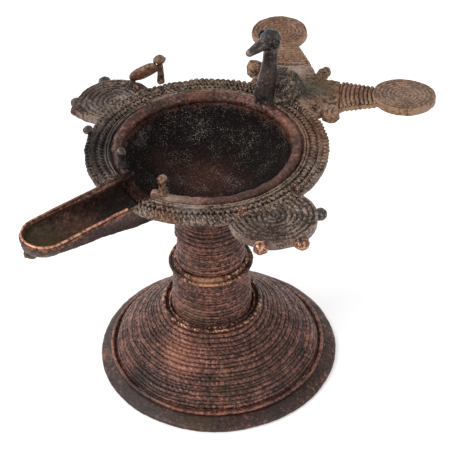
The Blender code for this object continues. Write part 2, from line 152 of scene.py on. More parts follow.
def draw_line(name, points):
    """Draws a chain of points by extrusion, from a plane merged to its middle."""
    put_down()
    spots = [Vector(point) * MM for point in points]
    bpy.ops.mesh.primitive_plane_add(size=MM, location=spots[0])
    piece = bpy.context.object
    piece.name = name
    bpy.ops.object.mode_set(mode="EDIT")
    bpy.ops.mesh.merge(type="CENTER")
    for last, this in zip(spots, spots[1:]):
        bpy.ops.mesh.extrude_region_move(TRANSFORM_OT_translate={"value": this - last})
    bpy.ops.object.mode_set(mode="OBJECT")
    bpy.ops.object.transform_apply(location=True)
    return piece


def apply_tool(piece, kind, **settings):
    """Adds one modifier to a piece and applies it."""
    pick_up(piece)
    tool = piece.modifiers.new(kind.lower(), kind)
    for name, value in settings.items():
        setattr(tool, name, value)
    bpy.ops.object.modifier_apply(modifier=tool.name)


def close_up(piece):
    """Joins the points that meet and turns every face outward."""
    pick_up(piece)
    bpy.ops.object.mode_set(mode="EDIT")
    bpy.ops.mesh.select_all(action="SELECT")
    bpy.ops.mesh.remove_doubles(threshold=MERGE)
    bpy.ops.mesh.normals_make_consistent(inside=False)
    bpy.ops.object.mode_set(mode="OBJECT")


def turned(name, outline, steps, levels=0):
    """Turns a closed outline of (radius, height) round the stem's centre line."""
    piece = draw_line(name, [(radius, 0.0, height) for radius, height in [*outline, outline[0]]])
    apply_tool(
        piece, "SCREW", steps=steps, render_steps=steps, use_merge_vertices=True, merge_threshold=MERGE
    )
    close_up(piece)
    if levels:
        apply_tool(piece, "SUBSURF", levels=levels, render_levels=levels)
    return piece


def stepped(edge, level, steps):
    """Outline points given by their steps out from an edge and up from a level."""
    return [(edge + out, level + up) for out, up in steps]


def thread(name, points, radius, sides=2):
    """Rolls a wax thread along a chain of points."""
    piece = draw_line(name, points)
    bpy.ops.object.convert(target="CURVE")
    piece = bpy.context.object
    piece.data.bevel_depth = radius * MM
    piece.data.bevel_resolution = sides
    piece.data.use_fill_caps = True
    bpy.ops.object.convert(target="MESH")
    close_up(bpy.context.object)
    return bpy.context.object


def sculpt(piece, shape):
    """Moves a piece's points by hand; shape takes their places in millimetres and gives new ones."""
    mesh = piece.data
    places = np.empty(len(mesh.vertices) * 3)
    mesh.vertices.foreach_get("co", places)
    moved = shape(places.reshape(-1, 3) / MM) * MM
    mesh.vertices.foreach_set("co", moved.ravel())
    mesh.update()


def shift(piece, x, y, z=0.0):
    sculpt(piece, lambda places: places + (x, y, z))


def cloud(size, kind="GRAYSCALE"):
    """A cloudy pattern with lumps of a size in millimetres."""
    pattern = bpy.data.textures.new("clay", "CLOUDS")
    pattern.noise_scale = size * MM
    pattern.noise_depth = 2
    pattern.cloud_type = kind
    return pattern


def roughen(piece, size, depth):
    """Raises and sinks the surface as grit in the mould does."""
    apply_tool(piece, "DISPLACE", texture=cloud(size), texture_coords="LOCAL", strength=3 * depth * MM)


def wander(piece, size, depth):
    """Lets a shape stray from true, as wax laid by hand does."""
    apply_tool(
        piece,
        "DISPLACE",
        texture=cloud(size, "COLOR"),
        texture_coords="LOCAL",
        direction="RGB_TO_XYZ",
        strength=3 * depth * MM,
    )


def pour(piece, stray, *grits):
    """Lets a shape stray from true and then roughens it; stray and each grit are a size and a depth."""
    wander(piece, *stray)
    for grit in grits:
        roughen(piece, *grit)


def fuse(piece, grain):
    """Melts a piece's parts into one skin, as the pour does."""
    apply_tool(piece, "REMESH", mode="VOXEL", voxel_size=grain * MM)


def join(name, pieces):
    """Joins several shapes into one piece."""
    pick_up(pieces[0])
    for piece in pieces:
        piece.select_set(True)
    bpy.ops.object.join()
    joined = bpy.context.object
    joined.name = name
    return joined


def copy_round(piece, count, turn):
    """Copies a shape round the stem's centre line, each copy a turn in degrees from the last."""
    put_down()
    bpy.ops.object.empty_add(rotation=(0.0, 0.0, math.radians(turn)))
    guide = bpy.context.object
    apply_tool(
        piece,
        "ARRAY",
        count=count,
        use_relative_offset=False,
        use_object_offset=True,
        offset_object=guide,
    )
    bpy.data.objects.remove(guide)


def drawn_out(name, stations, sides=16, levels=1):
    """Draws a round bar out from place to place; each station is (place, half width, half height)."""
    put_down()
    places = [Vector(place) * MM for place, _, _ in stations]
    heading = (places[-1] - places[0]).normalized()
    facing = heading.to_track_quat("Z", "Y")
    bpy.ops.mesh.primitive_circle_add(
        vertices=sides, radius=MM, fill_type="NGON", location=places[0], rotation=facing.to_euler()
    )
    piece = bpy.context.object
    piece.name = name
    bpy.ops.object.transform_apply(location=True, rotation=True)
    bpy.ops.object.mode_set(mode="EDIT")
    turn = facing.to_matrix()
    last_place, last_size = places[0], (1.0, 1.0)
    for place, (_, width, height) in zip(places, stations):
        if place != last_place:
            bpy.ops.mesh.extrude_region_move(TRANSFORM_OT_translate={"value": place - last_place})
        bpy.ops.transform.resize(
            value=(width / last_size[0], height / last_size[1], 1.0),
            orient_matrix=turn.transposed(),
            orient_matrix_type="LOCAL",
            orient_type="LOCAL",
            center_override=place,
        )
        last_place, last_size = place, (width, height)
    bpy.ops.object.mode_set(mode="OBJECT")
    close_up(piece)
    if levels:
        apply_tool(piece, "SUBSURF", levels=levels, render_levels=levels)
    return piece


def pellet(name, place, radii, segments=20):
    """Presses a pellet of wax on, not quite round."""
    put_down()
    bpy.ops.mesh.primitive_uv_sphere_add(segments=segments, ring_count=segments // 2 + 2, radius=MM)
    piece = bpy.context.object
    piece.name = name
    bpy.ops.transform.resize(value=radii)
    bpy.ops.object.transform_apply(scale=True)
    shift(piece, *place)
    wander(piece, 2.5 * radii[0] / 3, 0.12 * radii[0])
    return piece


ROW_POINTS = (0.0, 0.12, 0.32, 0.5, 0.68, 0.88)  # shares of a row's width


def rows_of_thread(base, pitch, stand, spread, seed, flatness=2.0):
    """The outline of thread wound row on row over a base line; flatness squares each row's round back."""
    draw = random.Random(seed)
    corners = [Vector(point) for point in base]
    runs = [(b - a).length for a, b in zip(corners, corners[1:])]
    whole = sum(runs)
    count = round(whole / pitch)
    widths = [1 + spread * draw.uniform(-1, 1) for _ in range(count)]
    stretch = whole / sum(widths)
    outline = []
    start = 0.0
    for width in widths:
        width *= stretch
        lift = stand * width / pitch * draw.uniform(0.8, 1.15)
        for share in ROW_POINTS:
            along = start + share * width
            leg = 0
            while leg < len(runs) - 1 and along > runs[leg]:
                along -= runs[leg]
                leg += 1
            heading = (corners[leg + 1] - corners[leg]).normalized()
            spot = corners[leg] + heading * along
            proud = lift * math.sqrt(1 - abs(2 * share - 1) ** flatness)
            outline.append((spot.x + heading.y * proud, spot.y - heading.x * proud))
        start += width
    return outline


def coiled_disc(name, centre, radius, levels, pitch, relief, flatness=2.0, hand=1):
    """A disc of thread coiled flat from its middle; flatness squares the thread's round back."""
    low, high = levels
    brim = radius - 0.25
    outline = [(0.0, low), (radius - 0.7, low), (radius, low + 0.6), (radius, high - 0.7), (brim, high)]
    inward = int(brim / (pitch / 7))  # seven points across each turn of thread
    outline += [(brim * (1 - i / inward), high) for i in range(1, inward + 1)]
    disc = turned(name, outline, steps=150)

    def wind(places):
        reach = np.hypot(places[:, 0], places[:, 1])
        turn = np.arctan2(places[:, 1], places[:, 0]) / math.tau
        row = (radius / pitch - reach / pitch + hand * turn) % 1.0
        back = 1 - np.abs(2 * row - 1) ** flatness
        top = (places[:, 2] > (low + high) / 2) & (reach < radius - 0.3)
        places[:, 2] += np.where(top, relief * (back - 1), 0.0)
        return places

    sculpt(disc, wind)
    shift(disc, *centre)
    return disc


# --- Metal -------------------------------------------------------------------------------------------


def add(tree, kind, feeds=(), **settings):
    """Adds a node with its settings; feeds maps its inputs to values or to the outputs that feed them."""
    node = tree.nodes.new(kind)
    for name, value in settings.items():
        setattr(node, name, value)
    for socket, value in dict(feeds).items():
        if isinstance(value, bpy.types.NodeSocket):
            tree.links.new(value, node.inputs[socket])
        else:
            node.inputs[socket].default_value = value
    return node


# Stains and patches of painted highlight and shade each have a middle in millimetres, a reach to their ragged
# edge, and a strength of 0 to 1.
Stain = namedtuple("Stain", "colour place reach strength")

# The patterns in the metal: the size of each in millimetres, and its detail. Blotches are handling and
# oil stains about a fingertip wide, and flecks are pits left by the clay. The real grit and the specks
# of ash are finer, and are drawn this coarse so that they show.
GRAINS = {"blotch": (9.0, 4.0), "fleck": (1.4, 3.0), "grit": (0.6, 2.0), "speck": (0.42, 1.0)}

# Wear is the crest mark, 0 in a groove to 1 on a crest, plus these shares of the patterns. EVEN takes off
# the patterns' own middle, so that EVEN + 0.5 is the plain surface.
WEAR = {"fleck": 3.4, "blotch": 1.8, "grit": 2.0}
EVEN = sum(WEAR.values()) / 2

# Cast brass under an old patina. The pour leaves a fine grit; dirt fills the grooves and stays dark and
# dull, the broad surface is brown, and hands and cloths bare the crests, which shine copper-red.
# The colours are those of the broad surface, of bared crests and of grooves. Dust and specks are shares
# of ash in the relief and in drifts, bare is how much wear it takes to bare the metal, shine and rough
# are the roughness of bared metal and of the rest, and gleam is the shader's specular level.
Metal = namedtuple(
    "Metal",
    "body worn groove dust specks bare shine rough metallic gleam stains",
    defaults=("groove", 0.08, 0.15, 0.75, 0.36, 0.54, 0.3, 0.4, ()),
)


def cast_brass(name, metal):
    """Makes one finish of the casting from its colours, its wear, its stains and its patches of painted
    highlight and shade.
    """
    colours = bpy.context.scene.diya_colours
    material = bpy.data.materials.new(name)
    material.use_nodes = True
    tree = material.node_tree
    shader = tree.nodes["Principled BSDF"]
    place = add(tree, "ShaderNodeTexCoord").outputs["Object"]
    relief = add(tree, "ShaderNodeAttribute", attribute_name="crest").outputs["Fac"]
    grain = {}
    for key, (size, detail) in GRAINS.items():
        feeds = {"Vector": place, "Scale": 1 / (size * MM), "Detail": detail, "Roughness": 0.62}
        grain[key] = add(tree, "ShaderNodeTexNoise", feeds).outputs[0]
    sums = {"wear": relief}
    for key, share in WEAR.items():
        feeds = {0: grain[key], 1: share, 2: sums["wear"]}
        sums["wear"] = add(tree, "ShaderNodeMath", feeds, operation="MULTIPLY_ADD").outputs[0]
    for key, feeds in {
        "settled": {0: relief, 1: -0.35, 2: grain["grit"]},
        "drift": {0: grain["blotch"], 1: 0.45, 2: grain["speck"]},
    }.items():
        sums[key] = add(tree, "ShaderNodeMath", feeds, operation="MULTIPLY_ADD").outputs[0]

    # Each layer lies over the last: its colour, the value that draws it, where it starts and is full,
    # and its most
    wear, bared = sums["wear"], EVEN + metal.bare
    layers = [(metal.body, wear, EVEN, EVEN + 0.65, 1.0), (metal.worn, wear, bared, bared + 0.5, 1.0)]
    # Stains, painted highlights and painted shade each lie over the skin in turn.
    for stain_or_painted_light in metal.stains:
        spot, reach = tuple(STEM + Vector(stain_or_painted_light.place) * MM), stain_or_painted_light.reach * MM
        gap = add(tree, "ShaderNodeVectorMath", {0: place, 1: spot}, operation="DISTANCE").outputs["Value"]
        feeds = {0: grain["fleck"], 1: -0.9 * reach, 2: gap}
        ragged = add(tree, "ShaderNodeMath", feeds, operation="MULTIPLY_ADD").outputs[0]
        layers.append((stain_or_painted_light.colour, ragged, 0.65 * reach, -0.45 * reach, stain_or_painted_light.strength))
    dusty = 0.5 - metal.dust * 0.2
    layers.append(("ash", sums["settled"], dusty, dusty + 0.12, metal.dust))
    layers.append(("ash", sums["drift"], 0.85, 0.95, metal.specks))
    skin = (*getattr(colours, metal.groove), 1.0)
    for tint, mark, start, full, most in layers:
        feeds = {0: mark, 1: start, 2: full, 3: 0.0, 4: most}
        share = add(tree, "ShaderNodeMapRange", feeds, interpolation_type="SMOOTHSTEP").outputs[0]
        feeds = {0: share, 6: skin, 7: (*getattr(colours, tint), 1.0)}
        skin = add(tree, "ShaderNodeMix", feeds, data_type="RGBA").outputs[2]
    tree.links.new(skin, shader.inputs["Base Color"])
    feeds = {0: wear, 1: EVEN + 0.3, 2: bared + 0.4, 3: metal.rough, 4: metal.shine}
    polish = add(tree, "ShaderNodeMapRange", feeds, interpolation_type="SMOOTHSTEP").outputs[0]
    tree.links.new(polish, shader.inputs["Roughness"])
    shader.inputs["Metallic"].default_value = metal.metallic
    shader.inputs["Specular IOR Level"].default_value = metal.gleam
    under = {}
    for key, depth in {"fleck": 0.35, "grit": 0.2}.items():
        feeds = {"Height": grain[key], "Strength": 0.6, "Distance": depth * MM, **under}
        under = {"Normal": add(tree, "ShaderNodeBump", feeds).outputs[0]}
    tree.links.new(under["Normal"], shader.inputs["Normal"])
    return material


METALS = {
    # Handled brass: brown in the grooves, copper-red where cloths rub the crests of the thread.
    "foot_brass": Metal(
        "patina", "copper", specks=0.25, bare=0.75, shine=0.3,
        stains=(
            # The copper and bright patches at the cone's front left are a painted highlight; the copper one
            # is partly bared metal as well.
            Stain("groove", (0.0, 0.0, 32.0), 32.0, 0.7), Stain("copper", (12.0, -28.0, 20.0), 15.0, 0.6),
            Stain("bright", (8.0, -29.0, 19.0), 6.0, 0.35), Stain("olive", (34.0, -14.0, 12.0), 14.0, 0.25),
            Stain("groove", (6.0, -46.0, 6.0), 24.0, 0.8), Stain("groove", (40.0, 0.0, 10.0), 26.0, 0.4),
        ),
    ),
    # Brass that hands and damp have darkened: dull, even, with little bare metal.
    "flange_brass": Metal(
        "ember", "copper", dust=0.1, bare=0.9, metallic=0.2,
        stains=(
            Stain("olive", (32.0, -36.0, 2.0), 14.0, 0.4), Stain("char", (10.0, -50.0, 5.0), 40.0, 0.75),
            # The small orange patch at the front left is a painted glint on the flange's edge.
            Stain("rust", (-28.0, -44.0, 3.0), 5.0, 0.7), Stain("char", (46.0, -10.0, 4.0), 30.0, 0.6),
            Stain("char", (-44.0, -30.0, 4.0), 24.0, 0.4),
        ),
    ),
    # As the foot, and duller, with painted shade under the pan and darker over the collar.
    "stem_brass": Metal(
        "patina", "copper", specks=0.2, bare=0.7, rough=0.5,
        stains=(
            Stain("olive", (6.0, -16.0, 34.0), 10.0, 0.45), Stain("rim", (6.0, -13.0, 62.0), 10.0, 0.4),
            # The groove patch at the stem's top is painted shade under the pan; the one below darkens the
            # stem over the collar.
            Stain("groove", (0.0, 0.0, 84.0), 22.0, 0.65), Stain("groove", (0.0, 0.0, 34.0), 24.0, 0.55),
        ),
    ),
    # Rings that fingers polish: the brightest crests on the lamp, with a painted highlight of orange and
    # bright patches on the stem ring's front.
    "ring_brass": Metal(
        "patina", "bright", bare=0.7, shine=0.28, metallic=0.5,
        stains=(
            # The orange and bright patches at the stem ring's front are a painted highlight.
            Stain("groove", (0.0, 0.0, 26.0), 24.0, 0.6), Stain("rust", (13.0, -12.5, 52.0), 14.0, 0.4),
            Stain("bright", (13.0, -12.5, 50.0), 11.0, 0.95),
        ),
    ),
    # A thin edge worn through to bare copper-red metal, sooted at its left root.
    "edge_copper": Metal(
        "copper", "bright", bare=0.65, shine=0.28, rough=0.46, metallic=0.55, gleam=0.5,
        stains=(
            Stain("ember", (-10.0, -60.0, 117.0), 22.0, 0.8),
        ),
    ),
    # Pellets rubbed bright on top, brown where they sit.
    "pellet_brass": Metal("patina", "bright", bare=0.7, shine=0.3, rough=0.5, metallic=0.35),
    # Burnt oil: matt near-black, with red-brown metal showing through and pale ash on it.
    "pan_soot": Metal(
        "soot", "ember", "soot", dust=0.0, specks=0.4, bare=0.6, shine=0.55, rough=0.7, metallic=0.0,
        gleam=0.06,
        stains=(
            Stain("patina", (-4.0, 1.0, 90.0), 21.0, 0.6), Stain("patina", (-24.0, -8.0, 94.0), 12.0, 0.45),
            Stain("patina", (12.0, 12.0, 90.0), 12.0, 0.4),
        ),
    ),
    # The pan's lip: brown and worn, sooted by the wick at the spout, with a pale painted highlight on its
    # front.
    "lip_brass": Metal(
        "patina", "copper", bare=0.85,
        stains=(
            # The pale crest-coloured patch at the front is a painted highlight on the lip.
            Stain("rim_crest", (20.0, -34.0, 118.0), 17.0, 0.7),
            Stain("soot", (-14.0, -36.0, 116.0), 14.0, 0.8), Stain("ember", (38.0, -6.0, 118.0), 22.0, 0.7),
            Stain("rust", (-34.0, 22.0, 118.0), 9.0, 0.5), Stain("rust", (14.0, 36.0, 118.0), 12.0, 0.5),
            Stain("soot", (-38.0, 4.0, 116.0), 12.0, 0.5),
        ),
    ),
    # Dry grey-brown metal with ash on it, black beside the spout, rusty at the back right.
    "rim_brass": Metal(
        "rim", "rim_crest", dust=0.05, specks=0.4, bare=0.7, shine=0.42, rough=0.6, metallic=0.2, gleam=0.3,
        stains=(
            Stain("rust", (24.0, 42.0, 116.0), 26.0, 0.5), Stain("olive", (-34.0, 32.0, 116.0), 22.0, 0.35),
            Stain("soot", (-30.0, -36.0, 116.0), 36.0, 0.95), Stain("rust", (26.0, -42.0, 115.0), 9.0, 0.5),
            Stain("ash", (28.0, -32.0, 116.0), 9.0, 0.3),
        ),
    ),
    # As the rim, and dustier, with dark stains toward the outer edges.
    "disc_brass": Metal(
        "rim", "rim_crest", dust=0.12, specks=0.6, bare=0.6, shine=0.44, rough=0.6, metallic=0.2, gleam=0.3,
        stains=(
            Stain("soot", (50.0, -8.0, 116.0), 9.0, 0.6), Stain("ember", (60.0, -26.0, 112.0), 18.0, 0.7),
            Stain("ash", (-52.0, -4.0, 117.0), 5.0, 0.4), Stain("ember", (-66.0, -14.0, 115.0), 14.0, 0.7),
            Stain("char", (-56.0, -14.0, 116.0), 16.0, 0.5),
        ),
    ),
    # Oil-soaked red-brown brass, with an olive film at the tip and soot at the root.
    "spout_brass": Metal(
        "ember", "copper", bare=0.95, metallic=0.25, gleam=0.3,
        stains=(
            Stain("olive", (1.0, -84.0, 108.0), 17.0, 0.7), Stain("soot", (2.5, -36.0, 106.0), 26.0, 1.0),
            Stain("soot", (17.0, -58.0, 104.0), 15.0, 0.8), Stain("soot", (16.0, -78.0, 106.0), 9.0, 0.7),
            Stain("rust", (-4.0, -66.0, 104.0), 12.0, 0.3),
        ),
    ),
    # Dry pale brown bronze that the oil doesn't reach, corroded green by the bird.
    "tail_brass": Metal(
        "bronze", "bronze_crest", dust=0.15, specks=0.45, bare=0.6, shine=0.5, rough=0.66, metallic=0.1,
        gleam=0.25,
        stains=(
            Stain("olive", (-1.0, 65.0, 117.0), 13.0, 0.8),
            Stain("verdigris", (-6.0, 56.0, 118.0), 15.0, 0.9),
            Stain("blush", (-18.0, 68.0, 117.0), 9.0, 0.9), Stain("rust", (10.0, 74.0, 116.0), 11.0, 0.4),
            Stain("char", (-2.0, 54.0, 119.0), 7.0, 0.7),
            Stain("bronze_crest", (-33.0, 76.0, 116.0), 12.0, 0.6),
        ),
    ),
    # As the tail, and smoother, with thin dark grooves.
    "tail_disc_brass": Metal(
        "bronze", "bronze_crest", "rim", dust=0.1, specks=0.3, bare=0.5, shine=0.46, rough=0.62,
        metallic=0.1, gleam=0.3,
        stains=(
            Stain("rust", (-46.0, 80.0, 116.0), 18.0, 0.5),
            Stain("rim_crest", (30.0, 92.0, 114.0), 16.0, 0.35),
        ),
    ),
    # As the tail, with orange wear on the small bird's back.
    "rim_bird_brass": Metal(
        "bronze", "bronze_crest", dust=0.2, bare=0.7, metallic=0.15,
        stains=(
            Stain("rust", (-53.5, 8.0, 122.5), 8.0, 0.7),
            Stain("verdigris", (-50.5, 15.0, 130.0), 3.5, 0.7),
            Stain("verdigris", (-57.5, 4.0, 119.0), 3.0, 0.7),
        ),
    ),
    # Smoked near-black metal with a soft shine, rubbed pink at the beak's tip.
    "bird_brass": Metal(
        "char", "rim_crest", "soot", specks=0.3, bare=0.85, shine=0.3, rough=0.4, metallic=0.25, gleam=0.5,
        stains=(
            Stain("soot", (-9.0, 44.0, 149.0), 9.0, 0.7), Stain("ember", (-9.0, 40.0, 132.0), 12.0, 0.4),
            Stain("blush", (-9.2, 29.5, 144.4), 3.6, 0.9),
        ),
    ),
    # Crusted grey metal, with dust and green corrosion in its pits.
    "bird_crust": Metal(
        "rim", "rim_crest", "soot", dust=0.35, specks=0.5, bare=0.7, shine=0.55, rough=0.7, metallic=0.1,
        gleam=0.2,
        stains=(
            Stain("verdigris", (-2.0, 54.0, 120.0), 9.0, 0.7),
            Stain("soot", (-12.0, 48.0, 126.0), 6.0, 0.8),
        ),
    ),
}


def metal(name):
    """The finish of that name, made the first time it is asked for."""
    return bpy.data.materials.get(name) or cast_brass(name, METALS[name])


def mark_crests(piece, rounds, relief):
    """Stores how proud each point stands of the smoothed surface, for wear and dirt to follow."""
    mesh = piece.data
    count = len(mesh.vertices)
    places = np.empty(count * 3)
    mesh.vertices.foreach_get("co", places)
    places = places.reshape(-1, 3)
    facing = np.empty(count * 3)
    mesh.vertex_normals.foreach_get("vector", facing)
    ends = np.empty(len(mesh.edges) * 2, int)
    mesh.edges.foreach_get("vertices", ends)
    start, end = ends[0::2], ends[1::2]
    degree = np.maximum(np.bincount(start, minlength=count) + np.bincount(end, minlength=count), 1)
    smooth = places.copy()
    ease = 0.6  # how far each round moves a point toward its neighbours' middle
    for _ in range(rounds):
        for axis in range(3):
            level = smooth[:, axis]
            around = np.bincount(start, level[end], count) + np.bincount(end, level[start], count)
            smooth[:, axis] += ease * (around / degree - level)
    proud = ((places - smooth) * facing.reshape(-1, 3)).sum(1)
    crest = np.clip(0.5 + proud / (2 * relief * MM), 0, 1)
    mark = mesh.attributes.new("crest", "FLOAT", "POINT")
    mark.data.foreach_set("value", crest)


SOFT_FOLD = math.radians(70)  # a fold gentler than this is shaded smooth


def keep(piece, finish, *nodes, rounds=12, relief=0.25):
    """Seats a finished piece on the lamp, gives it its metal and lets it stand for its CAD nodes."""
    mark_crests(piece, rounds, relief)
    piece.data.materials.clear()
    piece.data.materials.append(metal(finish))
    pick_up(piece)
    piece.location = STEM
    bpy.ops.object.transform_apply(location=True)
    bpy.ops.object.shade_smooth_by_angle(angle=SOFT_FOLD)
    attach(piece, "root")
    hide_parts(*nodes)


# --- Foot and stem -----------------------------------------------------------------------------------

FOOT = gauge("foot_flange")
CONE = gauge("foot_cone")
# How far the foot's sole stands off the stem; the flange's middle has the lean at half its height
LEAN = np.array([FOOT.x, FOOT.y]) / (1 - FOOT.high / 2 / CONE.high)
BORE = 9.5  # the core hole's radius up the stem
NECK = 14.3  # radius of the stem under the neck's threads


def lean(piece):
    """Leans a foot piece as the lamp's foot leans off its stem."""

    def tip(places):
        places[:, :2] += np.outer(1 - places[:, 2] / CONE.high, LEAN)
        return places

    sculpt(piece, tip)


class DIYA_OT_foot_flange(bpy.types.Operator):
    """Turns the smooth sloped flange that the foot stands on, and the thread along its inner edge"""

    bl_idname = "diya.foot_flange"
    bl_label = "Foot flange and edge thread"

    def execute(self, context):
        edge, top = FOOT.reach, FOOT.high
        outline = [
            (46.5, 0.0), (50.0, 0.0), (edge - 1.0, 0.0), (edge - 0.1, 0.3), (edge, 1.0), (edge - 0.5, 1.9),
            (edge - 2.4, 2.9), (edge - 4.8, top - 0.4), (edge - 6.4, top), (46.8, top), (46.5, top - 1.0),
        ]
        flange = turned("foot_flange_brass", outline, steps=160, levels=2)
        lean(flange)
        pour(flange, (25.0, 0.25), (2.2, 0.09), (0.8, 0.04))
        sculpt(flange, lambda places: np.maximum(places, (-math.inf, -math.inf, 0.0)))
        keep(flange, "flange_brass", "foot_flange", rounds=16, relief=0.3)
        thread_node = gauge("foot_edge_thread")
        middle = (thread_node.low + thread_node.high) / 2
        thick = (thread_node.high - thread_node.low) / 2
        ring = thread_node.reach - thick
        turns = [math.tau * i / 8 for i in range(8)]
        section = [(ring + thick * math.cos(t), middle + thick * math.sin(t)) for t in turns]
        edge_thread = turned("foot_edge_thread_brass", section, steps=240, levels=1)
        lean(edge_thread)
        pour(edge_thread, (14.0, 0.2), (1.5, 0.08))
        keep(edge_thread, "foot_brass", "foot_edge_thread", rounds=10, relief=0.2)
        return {"FINISHED"}


class DIYA_OT_foot_cone(bpy.types.Operator):
    """Winds the foot's cone row on row and cuts nicks across the rows"""

    bl_idname = "diya.foot_cone"
    bl_label = "Foot cone"

    def execute(self, context):
        sizes = context.scene.diya_sizes
        low, high = CONE.low, CONE.high
        base = [
            (47.0, low), (46.2, 7.4), (44.6, 9.7), (39.6, 14.3), (34.6, 18.7), (29.6, 22.7), (25.6, 25.7),
            (22.4, high),
        ]
        pitch, gap = sizes.cone_pitch / MM, sizes.nick_gap / MM
        outside = rows_of_thread(base, pitch, stand=0.42, spread=0.35, seed=3, flatness=3.2)
        inside = [(19.4, high), (19.4, high - 1.8), (30.0, 19.2), (40.0, 10.2), (43.6, low)]
        cone = turned("foot_cone_brass", outside + inside, steps=640)
        reaches, heights = np.array(base).T
        along = np.concatenate([[0.0], np.cumsum(np.hypot(np.diff(heights), np.diff(reaches)))])
        draw = random.Random(11)
        rows = 40  # more than the cone has
        offsets = np.array([draw.uniform(0.0, 1.0) for _ in range(rows)])
        depths = np.array([draw.uniform(0.5, 1.0) for _ in range(rows)])
        nick_depth, nick_width = 0.42, 0.2
        worked_side = math.radians(-75)  # the nicks are deepest here
        slope = 0.7  # the cone falls at about 45 degrees, so a nick bites as far in as down

        def nick(places):
            reach = np.hypot(places[:, 0], places[:, 1])
            turn = np.arctan2(places[:, 1], places[:, 0])
            row = (np.interp(places[:, 2], heights, along) / pitch).astype(int)
            around = np.maximum(np.round(math.tau * reach / gap), 1)
            step = (turn / math.tau * around + offsets[row]) % 1.0
            off = np.minimum(step, 1 - step) * gap
            outer = reach > np.interp(places[:, 2], heights, reaches) - 0.4
            worked = 0.3 + 0.7 * np.maximum(np.cos(turn - worked_side), 0.0)
            notch = np.exp(-((off / nick_width) ** 2))
            bite = slope * np.where(outer, nick_depth * worked * depths[row] * notch, 0.0)
            places[:, :2] -= (bite / reach)[:, None] * places[:, :2]
            places[:, 2] -= bite
            return places

        sculpt(cone, nick)
        lean(cone)
        pour(cone, (16.0, 0.45), (1.6, 0.12), (0.7, sizes.grit / MM))
        keep(cone, "foot_brass", "foot_cone", rounds=14, relief=0.3)
        return {"FINISHED"}


class DIYA_OT_foot_collar(bpy.types.Operator):
    """Turns the two rings that collar the stem's foot"""

    bl_idname = "diya.foot_collar"
    bl_label = "Foot collar"

    def execute(self, context):
        collar = gauge("foot_collar")
        edge, low = collar.reach, collar.low
        inner = 18.0
        outer_ring = [(-1.8, 0.0), (-0.6, 0.2), (0.0, 1.0), (-0.2, 1.9), (-1.0, 2.3), (-1.8, 1.9)]
        inner_ring = [(-2.2, 0.8), (-2.7, 0.5), (-3.1, 1.3), (-3.7, 1.7), (-4.3, 1.2), (-4.6, 0.4)]
        outline = [(inner, low), *stepped(edge, low, outer_ring + inner_ring), (inner, low + 0.4)]
        rings = turned("foot_collar_brass", outline, steps=180, levels=2)
        pour(rings, (9.0, 0.22), (1.2, 0.08))
        keep(rings, "ring_brass", "foot_collar", rounds=14, relief=0.3)
        return {"FINISHED"}


class DIYA_OT_stem(bpy.types.Operator):
    """Winds the stem below and above its ring from fine thread"""

    bl_idname = "diya.stem"
    bl_label = "Stem"

    def execute(self, context):
        pitch = context.scene.diya_sizes.stem_pitch / MM
        lower, upper, neck = gauge("stem_lower"), gauge("stem_upper"), gauge("stem_neck_threads")
        walls = {
            "stem_lower": ([(17.7, lower.low), (17.7, 33.0), (16.8, 42.0), (17.0, lower.high)], 5),
            "stem_upper": (
                [(15.0, upper.low), (14.2, 66.0), (14.2, neck.low), (14.2, neck.high), (15.2, upper.high)],
                8,
            ),
        }
        for node, (wall, seed) in walls.items():
            outline = rows_of_thread(wall, pitch, stand=0.5, spread=0.45, seed=seed)
            outline += [(wall[-1][0], wall[-1][1]), (BORE, wall[-1][1]), (BORE, wall[0][1])]
            stem = turned(node + "_brass", outline, steps=260)
            pour(stem, (10.0, 0.3), (1.3, 0.12), (0.6, 0.05))
            keep(stem, "stem_brass", node, rounds=12, relief=0.22)
        return {"FINISHED"}


class DIYA_OT_neck_threads(bpy.types.Operator):
    """Lays the four thick threads round the neck under the pan"""

    bl_idname = "diya.neck_threads"
    bl_label = "Neck threads"

    def execute(self, context):
        neck = gauge("stem_neck_threads")
        count = 4
        pitch = (neck.high - neck.low) / count
        wall = [(NECK, neck.low), (NECK, neck.high)]
        outline = rows_of_thread(wall, pitch, stand=1.15, spread=0.12, seed=2)
        outline += [(NECK, neck.high), (NECK - 0.6, neck.high), (NECK - 0.6, neck.low)]
        threads = turned("stem_neck_threads_brass", outline, steps=220, levels=1)
        pour(threads, (8.0, 0.3), (1.5, 0.1))
        keep(threads, "stem_brass", "stem_neck_threads", rounds=16, relief=0.35)
        return {"FINISHED"}


class DIYA_OT_stem_ring(bpy.types.Operator):
    """Turns the ring round the middle of the stem, with a groove between its two threads"""

    bl_idname = "diya.stem_ring"
    bl_label = "Stem ring"

    def execute(self, context):
        ring = gauge("stem_ring")
        edge, low, high = ring.reach, ring.low, ring.high
        lower_thread = [
            (-1.9, 0.0), (-0.8, 0.1), (-0.1, 0.7), (0.0, 1.3), (-0.5, 1.9), (-1.1, 2.0), (-1.6, 1.6),
            (-2.1, 2.0),
        ]
        upper_thread = [(-2.5, 0.0), (-3.3, 0.3), (-4.0, 0.0)]
        outside = stepped(edge, low, lower_thread) + stepped(edge, high, upper_thread)
        outline = [(BORE, low), *outside, (BORE, high)]
        piece = turned("stem_ring_brass", outline, steps=180, levels=2)
        pour(piece, (9.0, 0.25), (1.2, 0.08))
        keep(piece, "ring_brass", "stem_ring", rounds=16, relief=0.35)
        return {"FINISHED"}


# --- Pan and rim -------------------------------------------------------------------------------------

LIP = gauge("pan_lip")
PLATE = gauge("pan_rim_plate")
TROUGH = gauge("spout_trough")
SPOUT_TOP = TROUGH.high
